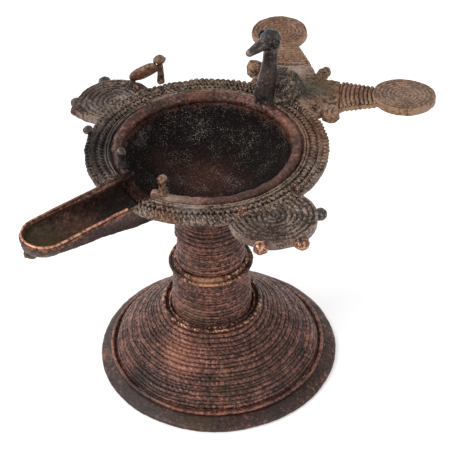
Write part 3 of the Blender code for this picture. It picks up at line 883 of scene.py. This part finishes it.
# The trough's underside: places along it, and how far it lies below the lip there
SPOUT_DEPTHS = ((-33.0, 18.5), (-44.0, 16.8), (-63.0, 12.3), (-76.0, 10.2), (-84.0, 8.4))
SPOUT_WALL = 2.0
CHANNEL_START = -20.0  # inside the well
CHANNEL_END = -46.0  # past the pan's wall
RIM_END = -70.0  # past the rim
CHANNEL_HEADROOM = 12.0  # how far a cut reaches above the spout
SPOUT_PLAY = 0.2  # gap between the rim and the spout's outside


def spout_depth(y):
    """How far the trough's underside lies below its lip at a place along it."""
    stations = sorted(SPOUT_DEPTHS)
    return float(np.interp(y, [s[0] for s in stations], [s[1] for s in stations]))


def cut_channel(piece, end, half_width, wall):
    """Cuts a round-bottomed channel through a piece, from inside the well to a place along the spout."""
    put_down()
    bpy.ops.mesh.primitive_cylinder_add(vertices=48, radius=MM, depth=MM, rotation=(math.pi / 2, 0.0, 0.0))
    cutter = bpy.context.object
    bpy.ops.object.transform_apply(rotation=True)

    def fit(places):
        y = np.where(places[:, 1] > 0, CHANNEL_START, end)
        depth = np.array([spout_depth(at) for at in y]) - wall
        x = places[:, 0] * half_width
        z = places[:, 2] * np.where(places[:, 2] < 0, depth, CHANNEL_HEADROOM)
        return np.column_stack([TROUGH.x + x, y, SPOUT_TOP + z])

    sculpt(cutter, fit)
    apply_tool(piece, "BOOLEAN", operation="DIFFERENCE", object=cutter)
    bpy.data.objects.remove(cutter)


class DIYA_OT_pan(bpy.types.Operator):
    """Turns the oil pan and its rounded lip, and opens the channel into the spout"""

    bl_idname = "diya.pan"
    bl_label = "Pan and lip"

    def execute(self, context):
        bowl = gauge("pan_bowl")
        low, top = bowl.low, bowl.high
        outline = [
            (0.0, low), (10.0, low), (16.0, low), (20.0, 91.5), (28.0, 95.5), (35.5, 102.5), (39.5, 109.5),
            (40.6, 113.0), (40.6, top), (LIP.reach - 3.0, top), (35.4, top), (34.6, 110.5), (31.2, 104.6),
            (25.0, 100.0), (15.0, 97.4), (7.0, 97.0), (0.0, 97.0),
        ]
        pan = turned("pan_bowl_brass", outline, steps=150, levels=2)
        cut_channel(pan, CHANNEL_END, TROUGH.reach - SPOUT_WALL, SPOUT_WALL)
        pour(pan, (14.0, 0.3), (2.6, 0.22), (0.9, 0.08))
        keep(pan, "pan_soot", "pan_bowl", rounds=16, relief=0.3)
        edge, base, crown = LIP.reach, LIP.low, LIP.high
        outline = [(35.6, base), (37.8, base - 0.3)]
        outline += stepped(edge, base, [(-0.4, 0.0), (-0.3, 1.2), (-0.7, 2.4)])
        outline += stepped(edge, crown, [(-1.5, -0.4), (-2.6, -0.1), (-3.8, -0.7)])
        outline += [(35.9, crown - 1.6), (35.5, base + 1.2)]
        lip = turned("pan_lip_brass", outline, steps=180, levels=2)
        cut_channel(lip, CHANNEL_END, TROUGH.reach - SPOUT_WALL, SPOUT_WALL)
        pour(lip, (9.0, 0.4), (3.0, 0.18), (1.2, 0.08))
        keep(lip, "lip_brass", "pan_lip", rounds=16, relief=0.3)
        return {"FINISHED"}


class DIYA_OT_rim(bpy.types.Operator):
    """Turns the rim plate and lays the two plain threads on its inner side"""

    bl_idname = "diya.rim"
    bl_label = "Rim plate and plain threads"

    def execute(self, context):
        edge, low, top = PLATE.reach, PLATE.low, PLATE.high
        outline = [(39.4, low), (46.0, low), *stepped(edge, low, [(-0.7, 0.4), (0.0, 1.0)])]
        outline += stepped(edge, top, [(0.1, -0.2), (-0.6, 0.4)])
        outline += stepped(0.0, top, [(48.9, 0.5), (46.6, 0.2), (43.4, 0.3), (39.4, 0.3)])
        plate = turned("pan_rim_plate_brass", outline, steps=180, levels=2)
        cut_channel(plate, RIM_END, TROUGH.reach + SPOUT_PLAY, -SPOUT_PLAY)
        pour(plate, (12.0, 0.3), (1.4, 0.12))
        keep(plate, "rim_brass", "pan_rim_plate", rounds=12, relief=0.25)
        threads = gauge("rim_threads")
        inner, outer = 41.0, threads.reach
        bed = [(outer, threads.low + 0.6), (inner, threads.low + 0.9)]
        wound = rows_of_thread(bed, pitch=1.1, stand=0.65, spread=0.0, seed=1)
        outline = [(inner, threads.low), (outer, threads.low), *wound]
        piece = turned("rim_threads_brass", outline, steps=300)
        cut_channel(piece, RIM_END, TROUGH.reach + SPOUT_PLAY, -SPOUT_PLAY)
        pour(piece, (10.0, 0.25), (1.1, 0.1))
        keep(piece, "rim_brass", "rim_threads", rounds=10, relief=0.22)
        return {"FINISHED"}


# How much of the rim the spout takes, and which way it points, in degrees round the stem
SPOUT_GAP = 2 * math.degrees(math.asin((TROUGH.reach + 0.6) / PLATE.reach))
SPOUT_TURN = math.degrees(math.atan2(-PLATE.reach, TROUGH.x))


def lay_round(piece, gap, ring):
    """Repeats a shape round the rim from one side of the spout to the other."""
    sweep = 360 - SPOUT_GAP
    count = round(math.radians(sweep) * ring / gap)
    turn = math.radians(SPOUT_TURN + SPOUT_GAP / 2 + 0.5 * sweep / count)
    sculpt(piece, lambda places: places @ np.array(Matrix.Rotation(turn, 3, "Z")).T)
    copy_round(piece, count, sweep / count)


def hatch_stroke(name, across, width, height, slant):
    """One short thread laid across a band of the rim, slanted by some degrees."""
    put_down()
    bpy.ops.mesh.primitive_uv_sphere_add(segments=8, ring_count=6, radius=MM)
    stroke = bpy.context.object
    stroke.name = name
    bpy.ops.transform.resize(value=(across / 2, width / 2, height))
    bpy.ops.object.transform_apply(scale=True)
    turn = np.array(Matrix.Rotation(math.radians(slant), 3, "Z"))
    sculpt(stroke, lambda places: places @ turn.T)
    return stroke


class DIYA_OT_rim_hatching(bpy.types.Operator):
    """Lays the two bands of slanted thread, the inner one in zigzags"""

    bl_idname = "diya.rim_hatching"
    bl_label = "Rim hatching"

    def execute(self, context):
        gap = context.scene.diya_sizes.hatch_gap / MM
        inner = gauge("rim_hatch_inner")
        ring = inner.reach - 1.4
        strokes = []
        for side, slant in ((-1, 32.0), (1, -32.0)):
            stroke = hatch_stroke("stroke", across=3.4, width=1.1, height=0.85, slant=slant)
            shift(stroke, ring, side * gap / 4, inner.low + 0.55)
            strokes.append(stroke)
        band = join("rim_hatch_inner_brass", strokes)
        lay_round(band, gap, ring)
        pour(band, (7.0, 0.25), (1.0, 0.08))
        keep(band, "rim_brass", "rim_hatch_inner", rounds=3, relief=0.3)
        outer = gauge("rim_hatch_outer")
        ring = outer.reach - 1.0
        closer = 0.7  # the outer strokes' gap beside the inner ones'
        band = hatch_stroke("rim_hatch_outer_brass", across=2.9, width=1.2, height=0.85, slant=38.0)
        shift(band, ring, 0.0, outer.low + 0.5)
        lay_round(band, closer * gap, ring)
        pour(band, (7.0, 0.25), (1.0, 0.08))
        keep(band, "rim_brass", "rim_hatch_outer", rounds=3, relief=0.3)
        return {"FINISHED"}


class DIYA_OT_rim_loops(bpy.types.Operator):
    """Lays the thread that runs along the rim's edge in small overlapping loops"""

    bl_idname = "diya.rim_loops"
    bl_label = "Rim loops"

    def execute(self, context):
        edge = gauge("rim_beads")
        thick = 0.7
        ring = edge.reach - 1.45
        put_down()
        bpy.ops.mesh.primitive_torus_add(
            major_segments=14, minor_segments=7, major_radius=0.95 * MM, minor_radius=thick * MM
        )
        loop = bpy.context.object
        loop.name = "rim_beads_brass"
        turn = np.array(Matrix.Rotation(math.radians(-24), 3, "X")) * (0.95, 0.9, 1.0)
        sculpt(loop, lambda places: places @ turn.T)
        shift(loop, ring, 0.0, edge.low + 0.4)
        lay_round(loop, context.scene.diya_sizes.loop_gap / MM, ring)
        pour(loop, (6.0, 0.35), (1.0, 0.1))
        keep(loop, "rim_brass", "rim_beads", rounds=3, relief=0.35)
        return {"FINISHED"}


# --- Spout -------------------------------------------------------------------------------------------

SPOUT_END, SPOUT_ROOT = [(corner.y - STEM.y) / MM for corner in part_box("spout_trough")]
SPOUT_TURN_IN = SPOUT_END + TROUGH.reach  # where the trough's end starts to close


class DIYA_OT_spout(bpy.types.Operator):
    """Shapes the trough for the wick, and lays the worn thread along its lip"""

    bl_idname = "diya.spout"
    bl_label = "Spout"

    def execute(self, context):
        put_down()
        bpy.ops.mesh.primitive_grid_add(x_subdivisions=40, y_subdivisions=96, size=2 * MM)
        trough = bpy.context.object
        trough.name = "spout_trough_brass"
        half = TROUGH.reach - SPOUT_WALL / 2
        end = SPOUT_END + SPOUT_WALL / 2

        def bend(places):
            across = math.pi * (places[:, 0] + 1) / 2
            along = (1 - places[:, 1]) / 2
            straight = 0.72  # share of the trough that runs straight before its end closes
            run = np.minimum(along / straight, 1.0)
            curl = np.clip((along - straight) / (1 - straight), 0.0, 1.0) * math.pi / 2
            y = SPOUT_ROOT + (SPOUT_TURN_IN - SPOUT_ROOT) * run - (SPOUT_TURN_IN - end) * np.sin(curl)
            close = np.cos(curl)
            depth = np.array([spout_depth(at) for at in np.maximum(y, SPOUT_TURN_IN)]) - SPOUT_WALL / 2
            bottom = depth * np.maximum(close, 0.0) ** 0.6 * np.maximum(np.sin(across), 0.0) ** 0.9
            x = TROUGH.x - half * close * np.cos(across)
            return np.column_stack([x, y, SPOUT_TOP - bottom])

        sculpt(trough, bend)
        close_up(trough)
        apply_tool(trough, "SOLIDIFY", thickness=SPOUT_WALL * 0.9 * MM, offset=0.0, use_even_offset=True)
        close_up(trough)
        apply_tool(trough, "SUBSURF", levels=1, render_levels=1)
        pour(trough, (14.0, 0.3), (3.0, 0.16), (0.9, 0.05))
        keep(trough, "spout_brass", "spout_trough", rounds=14, relief=0.3)
        lip = gauge("spout_lip_thread")
        thick = (lip.high - lip.low) / 2
        reach = lip.reach - thick - 0.5
        rise, step = lip.low + 0.2, 2.2
        runs = [step * i for i in range(1, 16)]
        route = [(lip.x + reach, SPOUT_TURN_IN + run, rise) for run in reversed(runs)]
        turns = [math.pi * i / 22 for i in range(23)]
        route += [(lip.x + reach * math.cos(t), SPOUT_TURN_IN - reach * math.sin(t), rise) for t in turns]
        route += [(lip.x - reach, SPOUT_TURN_IN + run, rise) for run in runs]
        bead = thread("spout_lip_thread_brass", route, thick * 0.85)
        pour(bead, (10.0, 0.2), (1.6, 0.08))
        keep(bead, "edge_copper", "spout_lip_thread", rounds=4, relief=0.4)
        return {"FINISHED"}


class DIYA_OT_spout_posts(bpy.types.Operator):
    """Draws up the two short posts at the spout's mouth, each with a ball on top"""

    bl_idname = "diya.spout_posts"
    bl_label = "Spout posts"

    def execute(self, context):
        shaft = [(3.0, 0.0), (2.3, 1.2), (1.6, 3.0), (1.3, 5.2), (1.5, 6.2)]
        ball = [(2.1, 7.2), (2.2, 8.3), (1.6, 9.4), (0.6, 9.9)]
        low = LIP.high - 1.2
        for side, finish in (("left", "bird_brass"), ("right", "tail_brass")):
            post = gauge("spout_post_" + side)
            stations = [((post.x, post.y, low + z), r, r) for r, z in shaft + ball]
            piece = drawn_out(f"spout_post_{side}_brass", stations, sides=12, levels=1)
            pour(piece, (4.0, 0.25), (1.2, 0.1))
            keep(piece, finish, "spout_post_" + side, rounds=6, relief=0.8)
        return {"FINISHED"}


# --- Coiled discs beside the rim ---------------------------------------------------------------------


class DIYA_OT_side_discs(bpy.types.Operator):
    """Coils the discs on the rim's two sides and tucks their inner edges under the rim"""

    bl_idname = "diya.side_discs"
    bl_label = "Side discs"

    def execute(self, context):
        pitch = context.scene.diya_sizes.coil_pitch / MM
        # Each disc's middle and radius, and the heading in degrees and length of its drawn-out corner
        places = {"left": ((-53.8, -8.1), 16.6, -112.0, 2.4), "right": ((53.0, -9.8), 17.9, -30.0, 0.0)}
        tuck = PLATE.reach + 0.5
        for side, (centre, radius, heading, draw_out) in places.items():
            disc_node, coil_node = gauge(side + "_disc"), gauge(side + "_disc_coil")
            levels = (disc_node.low, coil_node.high - 0.4)
            disc = coiled_disc(side + "_disc_brass", centre, radius, levels, pitch, relief=0.75)
            point = np.array([math.cos(math.radians(heading)), math.sin(math.radians(heading))])

            def press(spots):
                off = spots[:, :2] - centre
                toward = np.clip((off @ point) / radius, 0.0, 1.0) ** 3
                sideways = off - np.outer(off @ point, point)
                narrowing = 0.35 * (draw_out > 0)
                spots[:, :2] += np.outer(toward * draw_out, point) - sideways * toward[:, None] * narrowing
                reach = np.hypot(spots[:, 0], spots[:, 1])
                under = np.clip((tuck - reach) / 0.6, 0.0, 1.0)
                limit = disc_node.low + 0.5 + (1 - under) * 10
                spots[:, 2] = np.minimum(spots[:, 2], limit)
                return spots

            sculpt(disc, press)
            pour(disc, (7.0, 0.3), (1.2, 0.12))
            keep(disc, "disc_brass", side + "_disc", side + "_disc_coil", rounds=8, relief=0.28)
        return {"FINISHED"}


class DIYA_OT_pellets(bpy.types.Operator):
    """Presses pellets of wax round the side discs, on the rim and under the spout's tip"""

    bl_idname = "diya.pellets"
    bl_label = "Pellets"

    def execute(self, context):
        for node, (share, finish) in PELLETS.items():
            at = gauge(node)
            size = (at.high - at.low) / 2 * share
            middle = Vector((at.x, at.y, (at.low + at.high) / 2))
            if "_disc_" in node:
                disc = gauge(node.split("_knob")[0])
                inward = Vector((disc.x - at.x, disc.y - at.y, 0.0)).normalized()
                middle += inward * 0.5
            if node == "spout_tip_knob":
                middle.z += 1.8
            piece = pellet(node + "_brass", middle, (size, size, size * 0.9))
            pour(piece, (2.6, 0.35), (1.2, 0.15))
            keep(piece, finish, node, rounds=6, relief=0.8)
        return {"FINISHED"}


# How big each pellet is beside its CAD ball, and its finish
PELLETS = {
    "left_disc_knob_1": (0.82, "pellet_brass"),
    "left_disc_knob_2": (0.75, "disc_brass"),
    "left_disc_knob_3": (0.92, "bird_brass"),
    "right_disc_knob_1": (1.0, "pellet_brass"),
    "right_disc_knob_2": (1.0, "pellet_brass"),
    "right_disc_knob_3": (0.90, "bird_brass"),
    "rim_knob_1": (0.80, "pellet_brass"),
    "rim_knob_2": (0.75, "pellet_brass"),
    "rim_knob_3": (0.62, "pellet_brass"),
    "rim_knob_4": (0.75, "bird_brass"),
    "spout_tip_knob": (0.85, "spout_brass"),
}


# --- Birds -------------------------------------------------------------------------------------------


class DIYA_OT_rim_bird(bpy.types.Operator):
    """Models the small bird that sits on the rim's left side"""

    bl_idname = "diya.rim_bird"
    bl_label = "Rim bird"

    def execute(self, context):
        shapes = {
            "rim_bird_body": [
                ((-58.2, 3.2, 120.6), 0.9, 1.4), ((-56.8, 5.4, 121.6), 2.7, 4.3),
                ((-54.6, 8.4, 123.2), 3.0, 5.2), ((-52.6, 11.2, 124.8), 2.8, 5.0),
                ((-50.8, 13.8, 126.4), 2.0, 3.4),
            ],
            "rim_bird_neck": [
                ((-50.0, 14.6, 116.8), 2.0, 2.0), ((-50.2, 14.8, 119.4), 1.6, 1.6),
                ((-50.3, 14.9, 123.0), 1.5, 1.5), ((-50.6, 15.0, 127.6), 1.6, 1.6),
            ],
            "rim_bird_leg": [
                ((-57.4, 4.4, 116.8), 1.7, 1.7), ((-57.3, 4.7, 118.4), 1.1, 1.1),
                ((-57.1, 5.0, 121.0), 0.9, 0.9),
            ],
        }
        for node, stations in shapes.items():
            piece = drawn_out(node + "_brass", stations, sides=14, levels=2)
            pour(piece, (3.0, 0.2), (1.0, 0.1))
            keep(piece, "rim_bird_brass", node, rounds=8, relief=0.8)
        head = gauge("rim_bird_head")
        middle = (head.x, head.y, (head.low + head.high) / 2)
        cap = pellet("rim_bird_head_brass", middle, (2.8, 3.0, 1.7), segments=24)
        keep(cap, "rim_bird_brass", "rim_bird_head", rounds=8, relief=0.8)
        return {"FINISHED"}


class DIYA_OT_back_bird(bpy.types.Operator):
    """Models the bird at the back: its neck, its head and beak, its ringed eyes and its crusted body"""

    bl_idname = "diya.back_bird"
    bl_label = "Back bird"

    def execute(self, context):
        neck = [
            ((-9.0, 40.6, 115.6), 6.2, 6.2), ((-9.0, 40.4, 118.4), 5.2, 5.4), ((-9.0, 40.5, 122.5), 4.3, 4.7),
            ((-9.0, 41.6, 128.0), 3.8, 4.0), ((-9.0, 43.1, 134.0), 3.3, 3.4), ((-9.0, 43.7, 139.6), 3.1, 3.2),
            ((-9.0, 43.8, 144.0), 3.3, 3.4),
        ]
        piece = drawn_out("bird_neck_brass", neck, sides=20, levels=2)
        pour(piece, (7.0, 0.3), (1.6, 0.14))
        keep(piece, "bird_brass", "bird_neck", rounds=14, relief=0.3)
        head = gauge("bird_head")
        middle = (head.x, head.y, (head.low + head.high) / 2)
        skull = pellet("bird_head_brass", middle, (4.6, 5.2, 4.7), segments=40)

        def brow(places):
            off = places - middle
            forward = np.clip(-off[:, 1] / 5.0, 0.0, 1.0)
            places[:, 2] -= 0.8 * forward**2
            places[:, 0] -= 0.2 * off[:, 0] * forward
            return places

        sculpt(skull, brow)
        roughen(skull, 1.4, 0.12)
        keep(skull, "bird_brass", "bird_head", rounds=12, relief=0.7)
        beak = [
            ((-9.0, 41.0, 146.4), 3.2, 3.2), ((-9.0, 38.6, 146.0), 2.9, 2.8), ((-9.1, 35.4, 145.5), 2.4, 2.3),
            ((-9.1, 32.8, 145.0), 2.0, 1.9), ((-9.2, 31.2, 144.7), 1.8, 1.6), ((-9.2, 30.4, 144.5), 1.0, 0.9),
        ]
        piece = drawn_out("bird_beak_brass", beak, sides=16, levels=2)
        pour(piece, (5.0, 0.15), (1.4, 0.08))
        keep(piece, "bird_brass", "bird_beak", rounds=10, relief=0.3)
        for side, sign in (("left", -1), ("right", 1)):
            node = "bird_eye_" + side
            at = gauge(node)
            level = (at.low + at.high) / 2
            put_down()
            bpy.ops.mesh.primitive_torus_add(
                major_segments=24, minor_segments=10, major_radius=1.55 * MM, minor_radius=0.55 * MM,
                rotation=(0.0, math.pi / 2, 0.0),
            )
            bpy.ops.object.transform_apply(rotation=True)
            ring = bpy.context.object
            pupil = pellet("pupil", (0.0, 0.0, 0.0), (0.7, 0.9, 0.9), segments=12)
            eye = join(node + "_brass", [ring, pupil])
            shift(eye, at.x - sign * 0.6, at.y, level)
            keep(eye, "bird_brass", node, rounds=3, relief=0.8)
        body = gauge("bird_body")
        lump = pellet("bird_body_brass", (body.x, 49.8, 118.4), (8.8, 10.4, 8.2), segments=48)
        turns = np.linspace(0.0, math.pi, 18)
        arc = [(-9.0 + 7.4 * math.cos(t), 48.0 + 4.6 * math.sin(t), 121.0 + 6.4 * math.sin(t)) for t in turns]
        crest_ring = thread("crest", arc, 1.3, 3)
        lump = join("bird_body_brass", [lump, crest_ring])
        fuse(lump, 0.45)
        roughen(lump, 4.0, 0.5)
        roughen(lump, 1.4, 0.28)
        roughen(lump, 0.8, 0.12)
        sculpt(lump, lambda places: np.maximum(places, (-math.inf, -math.inf, 113.4)))
        keep(lump, "bird_crust", "bird_body", rounds=12, relief=0.35)
        return {"FINISHED"}


# --- Tail --------------------------------------------------------------------------------------------

TAIL = gauge("tail_plate")
# Each disc's middle, radius and tilt in degrees
TAIL_DISCS = {"left": ((-49.1, 84.6), 13.0, 0.0), "right": ((27.2, 89.9), 13.9, -5.0)}
TAIL_LEVELS = (112.8, 116.4)
TILT_LEVEL = 115.0
TILT_AXIS = (0.777, 0.629, 0.0)


def round_points(centre, radius, start, end, steps):
    """Points on an arc in plan; angles in degrees."""
    turns = np.radians(np.linspace(start, end, steps + 1))
    return [(centre[0] + radius * math.cos(t), centre[1] + radius * math.sin(t)) for t in turns]


def slab(name, outline, low, high, grain):
    """Cuts a plate to an outline in plan and melts its edges round."""
    piece = draw_line(name, [(x, y, high) for x, y in [*outline, outline[0]]])
    pick_up(piece)
    bpy.ops.object.mode_set(mode="EDIT")
    bpy.ops.mesh.select_all(action="SELECT")
    bpy.ops.mesh.remove_doubles(threshold=MERGE)
    bpy.ops.mesh.edge_face_add()
    bpy.ops.mesh.extrude_region_move(TRANSFORM_OT_translate={"value": (0.0, 0.0, (low - high) * MM)})
    bpy.ops.object.mode_set(mode="OBJECT")
    close_up(piece)
    fuse(piece, grain)
    return piece


class DIYA_OT_tail_plate(bpy.types.Operator):
    """Cuts the forked tail plate, crusts it over, and adds its lobes and the knob in its fork"""

    bl_idname = "diya.tail_plate"
    bl_label = "Tail plate, lobes and knob"

    def execute(self, context):
        outline = round_points((0, 0), PLATE.reach - 1.0, 73.5, 119.5, 8)
        left_prong = [(-28.6, 54.0), (-26.2, 64.8), (-16.9, 75.3)]
        right_prong = [(1.0, 76.1), (15.0, 61.6), (13.0, 56.0)]
        outline += [*left_prong, (-7.8, 70.9), *right_prong]
        plate = slab("tail_plate_brass", outline, TAIL.low, TAIL.high - 0.2, 0.5)

        def heap(places):
            gap = np.hypot(places[:, 0] - 1.0, places[:, 1] - 54.0)
            top = places[:, 2] > TAIL.high - 1.5
            places[:, 2] += np.where(top, 2.2 * np.exp(-((gap / 9.0) ** 2)), 0.0)
            return places

        sculpt(plate, heap)
        roughen(plate, 5.0, 0.35)
        roughen(plate, 2.2, 0.3)
        roughen(plate, 0.9, 0.12)
        keep(plate, "tail_brass", "tail_plate", rounds=10, relief=0.3)
        for side in ("left", "right"):
            lobe = gauge("tail_lobe_" + side)
            outer, low, high = 0.85 * lobe.reach, lobe.low, lobe.high - 0.3
            side_wall = [(outer - 0.5, low), (outer - 0.3, high - 1.2)]
            wound = rows_of_thread(side_wall, pitch=1.5, stand=0.45, spread=0.2, seed=4)
            top = [(outer - 0.6, high - 0.6), (outer - 1.8, high), (1.2, high + 0.3), (0.0, high + 0.3)]
            piece = turned(f"tail_lobe_{side}_brass", [*wound, *top, (0.0, low)], steps=64, levels=1)
            shift(piece, lobe.x + (1.5 if side == "left" else -1.5), lobe.y)
            pour(piece, (4.0, 0.3), (1.4, 0.15))
            keep(piece, "tail_brass", "tail_lobe_" + side, rounds=10, relief=0.35)
        start, heading = Vector((-7.9, 71.0, 115.6)), Vector((-0.22, 0.975, 0))
        bulb = [(-1.0, 1.6), (1.2, 2.0), (2.8, 2.9), (4.2, 3.1), (5.2, 2.5), (5.9, 2.1)]
        tip = [(6.8, 2.6), (7.8, 2.2), (8.5, 0.9)]
        stations = [(start + heading * along, radius, radius) for along, radius in bulb + tip]
        knob = drawn_out("tail_fork_knob_brass", stations, sides=16, levels=2)
        pour(knob, (4.0, 0.25), (1.4, 0.12))
        keep(knob, "tail_brass", "tail_fork_knob", rounds=12, relief=0.35)
        return {"FINISHED"}


class DIYA_OT_tail_arms(bpy.types.Operator):
    """Lays thread across the two arms that carry the tail's discs"""

    bl_idname = "diya.tail_arms"
    bl_label = "Tail arms"

    def execute(self, context):
        roots = {"left": [(-17.3, 75.8), (-28.4, 63.2)], "right": [(15.4, 62.0), (1.3, 76.6)]}
        meets = {"left": (-62.0, -4.0), "right": (202.0, 258.0)}  # where its sides meet the disc, in degrees
        pitch, rooted = 1.9, 0.1  # the arm rises out of the plate over its first tenth
        for side, root in roots.items():
            centre, radius, _ = TAIL_DISCS[side]
            first, last = meets[side]
            put_down()
            bpy.ops.mesh.primitive_grid_add(x_subdivisions=90, y_subdivisions=40, size=2 * MM)
            arm = bpy.context.object
            arm.name = f"tail_arm_{side}_brass"

            def shape(places):
                along = (places[:, 0] + 1) / 2 * 1.14 - 0.12
                across = (places[:, 1] + 1) / 2
                near, far = np.array(root)
                inner = near * (1 - across[:, None]) + far * across[:, None]
                turn = np.radians(last + (first - last) * across)
                outer = np.column_stack([np.cos(turn), np.sin(turn)]) * radius + centre
                flat = inner * (1 - along[:, None]) + outer * along[:, None]
                run = np.hypot(*(outer - inner).T) * along
                bow = 0.5 * (1 - (2 * across - 1) ** 2)
                row = ((run + 1.4 * np.sin(across * math.pi)) / pitch) % 1.0
                back = 1 - np.abs(2 * row - 1) ** 2.6
                sink = 1.6 * np.clip(rooted - along, 0.0, 0.2) / 0.2
                rise = TAIL.high - 1.3 + bow + 0.95 * back - sink
                return np.column_stack([flat, rise])

            sculpt(arm, shape)
            apply_tool(arm, "SOLIDIFY", thickness=2.2 * MM, offset=-1.0)
            close_up(arm)
            pour(arm, (8.0, 0.2), (1.3, 0.06))
            keep(arm, "tail_brass", "tail_arm_" + side, rounds=8, relief=0.2)
        return {"FINISHED"}


class DIYA_OT_tail_discs(bpy.types.Operator):
    """Coils the two discs at the ends of the tail"""

    bl_idname = "diya.tail_discs"
    bl_label = "Tail discs"

    def execute(self, context):
        pitch = context.scene.diya_sizes.coil_pitch / MM * 0.85
        for side, (centre, radius, degrees) in TAIL_DISCS.items():
            node = "tail_disc_" + side
            middle = Vector((*centre, TILT_LEVEL))
            name = node + "_brass"
            disc = coiled_disc(name, centre, radius, TAIL_LEVELS, pitch, relief=0.5, flatness=2.2, hand=-1)
            turn = np.array(Matrix.Rotation(math.radians(degrees), 3, TILT_AXIS))
            sculpt(disc, lambda places: (places - middle) @ turn.T + middle)
            pour(disc, (7.0, 0.25), (1.3, 0.08))
            keep(disc, "tail_disc_brass", node, node + "_coil", rounds=8, relief=0.25)
        return {"FINISHED"}


# --- Stage -------------------------------------------------------------------------------------------


def soft_box(name, place, size, power, tone):
    """A square soft light that faces the lamp."""
    put_down()
    bpy.ops.object.light_add(type="AREA", location=place)
    light = bpy.context.object
    light.name = name
    light.data.shape = "SQUARE"
    light.data.size = size
    light.data.energy = power
    light.data.color = linear(tone)
    aim = Vector((0.0, 0.0, 0.07)) - Vector(place)
    light.rotation_euler = aim.to_track_quat("-Z", "Y").to_euler()


class DIYA_OT_stage(bpy.types.Operator):
    """Sets the plain pale floor, the soft studio light and the camera"""

    bl_idname = "diya.stage"
    bl_label = "Floor, light and camera"

    def execute(self, context):
        scene = context.scene
        scene.view_settings.view_transform = "Standard"
        put_down()
        bpy.ops.mesh.primitive_plane_add(size=14.0, location=(0.0, 0.0, -0.0002))
        floor = context.object
        floor.name = "floor"
        paper = bpy.data.materials.new("matt_white_paper")
        paper.use_nodes = True
        shader = paper.node_tree.nodes["Principled BSDF"]
        shader.inputs["Base Color"].default_value = (*linear("#e8e8e8"), 1.0)
        shader.inputs["Roughness"].default_value = 1.0
        shader.inputs["Emission Color"].default_value = (*linear("#ffffff"), 1.0)
        shader.inputs["Emission Strength"].default_value = 0.25
        floor.data.materials.append(paper)
        world = bpy.data.worlds.new("studio")
        world.use_nodes = True
        backdrop = world.node_tree.nodes["Background"]
        backdrop.inputs["Color"].default_value = (*linear("#f5f5f5"), 1.0)
        backdrop.inputs["Strength"].default_value = 0.92
        scene.world = world
        soft_box("key", (-0.25, -1.1, 1.0), 0.7, 12.5, "#fffaf5")
        soft_box("fill", (1.3, 0.1, 0.8), 0.9, 4.5, "#fafbff")
        soft_box("side", (-1.3, -0.1, 0.9), 0.8, 5.0, "#ffffff")
        azimuth, elevation, roll = math.radians(51.0), math.radians(38.94), math.radians(-1.5)
        flat = math.cos(elevation)
        back = Vector((math.sin(azimuth) * flat, -math.cos(azimuth) * flat, math.sin(elevation)))
        right = Vector((math.cos(azimuth), math.sin(azimuth), 0.0))
        up = back.cross(right)
        side = right * math.cos(roll) + up * math.sin(roll)
        rise = up * math.cos(roll) - right * math.sin(roll)
        bpy.ops.object.camera_add()
        camera = context.object
        turn = Matrix((side, rise, back)).transposed().to_4x4()
        height, distance, aside = 0.07362, 0.636, 0.00679
        place = STEM + Vector((0.0, 0.0, height)) + back * distance + right * aside
        camera.matrix_world = Matrix.Translation(place) @ turn
        camera.data.sensor_width = 36.0
        camera.data.lens = 115.8
        scene.camera = camera
        return {"FINISHED"}


class DIYA_PT_pieces(bpy.types.Panel):
    """Lists the lamp's pieces, its sizes and its colours"""

    bl_idname = "DIYA_PT_pieces"
    bl_label = "Cast brass diya"
    bl_space_type = "VIEW_3D"
    bl_region_type = "UI"
    bl_category = "Diya"

    def draw(self, context):
        for group in (context.scene.diya_sizes, context.scene.diya_colours):
            for name in group.__annotations__:
                self.layout.prop(group, name)
        for operator in OPERATORS:
            self.layout.operator(operator.bl_idname)


OPERATORS = (
    DIYA_OT_foot_flange,
    DIYA_OT_foot_cone,
    DIYA_OT_foot_collar,
    DIYA_OT_stem,
    DIYA_OT_neck_threads,
    DIYA_OT_stem_ring,
    DIYA_OT_pan,
    DIYA_OT_rim,
    DIYA_OT_rim_hatching,
    DIYA_OT_rim_loops,
    DIYA_OT_spout,
    DIYA_OT_spout_posts,
    DIYA_OT_side_discs,
    DIYA_OT_pellets,
    DIYA_OT_rim_bird,
    DIYA_OT_back_bird,
    DIYA_OT_tail_plate,
    DIYA_OT_tail_arms,
    DIYA_OT_tail_discs,
    DIYA_OT_stage,
)
CLASSES = (DiyaSizes, DiyaColours, *OPERATORS, DIYA_PT_pieces)


def register():
    for item in CLASSES:
        bpy.utils.register_class(item)
    bpy.types.Scene.diya_sizes = bpy.props.PointerProperty(type=DiyaSizes)
    bpy.types.Scene.diya_colours = bpy.props.PointerProperty(type=DiyaColours)


def unregister():
    del bpy.types.Scene.diya_colours
    del bpy.types.Scene.diya_sizes
    for item in reversed(CLASSES):
        bpy.utils.unregister_class(item)


def main():
    register()
    for operator in OPERATORS:
        name = operator.bl_idname.split(".")[1]
        getattr(bpy.ops.diya, name)()


if __name__ == "__main__":
    main()
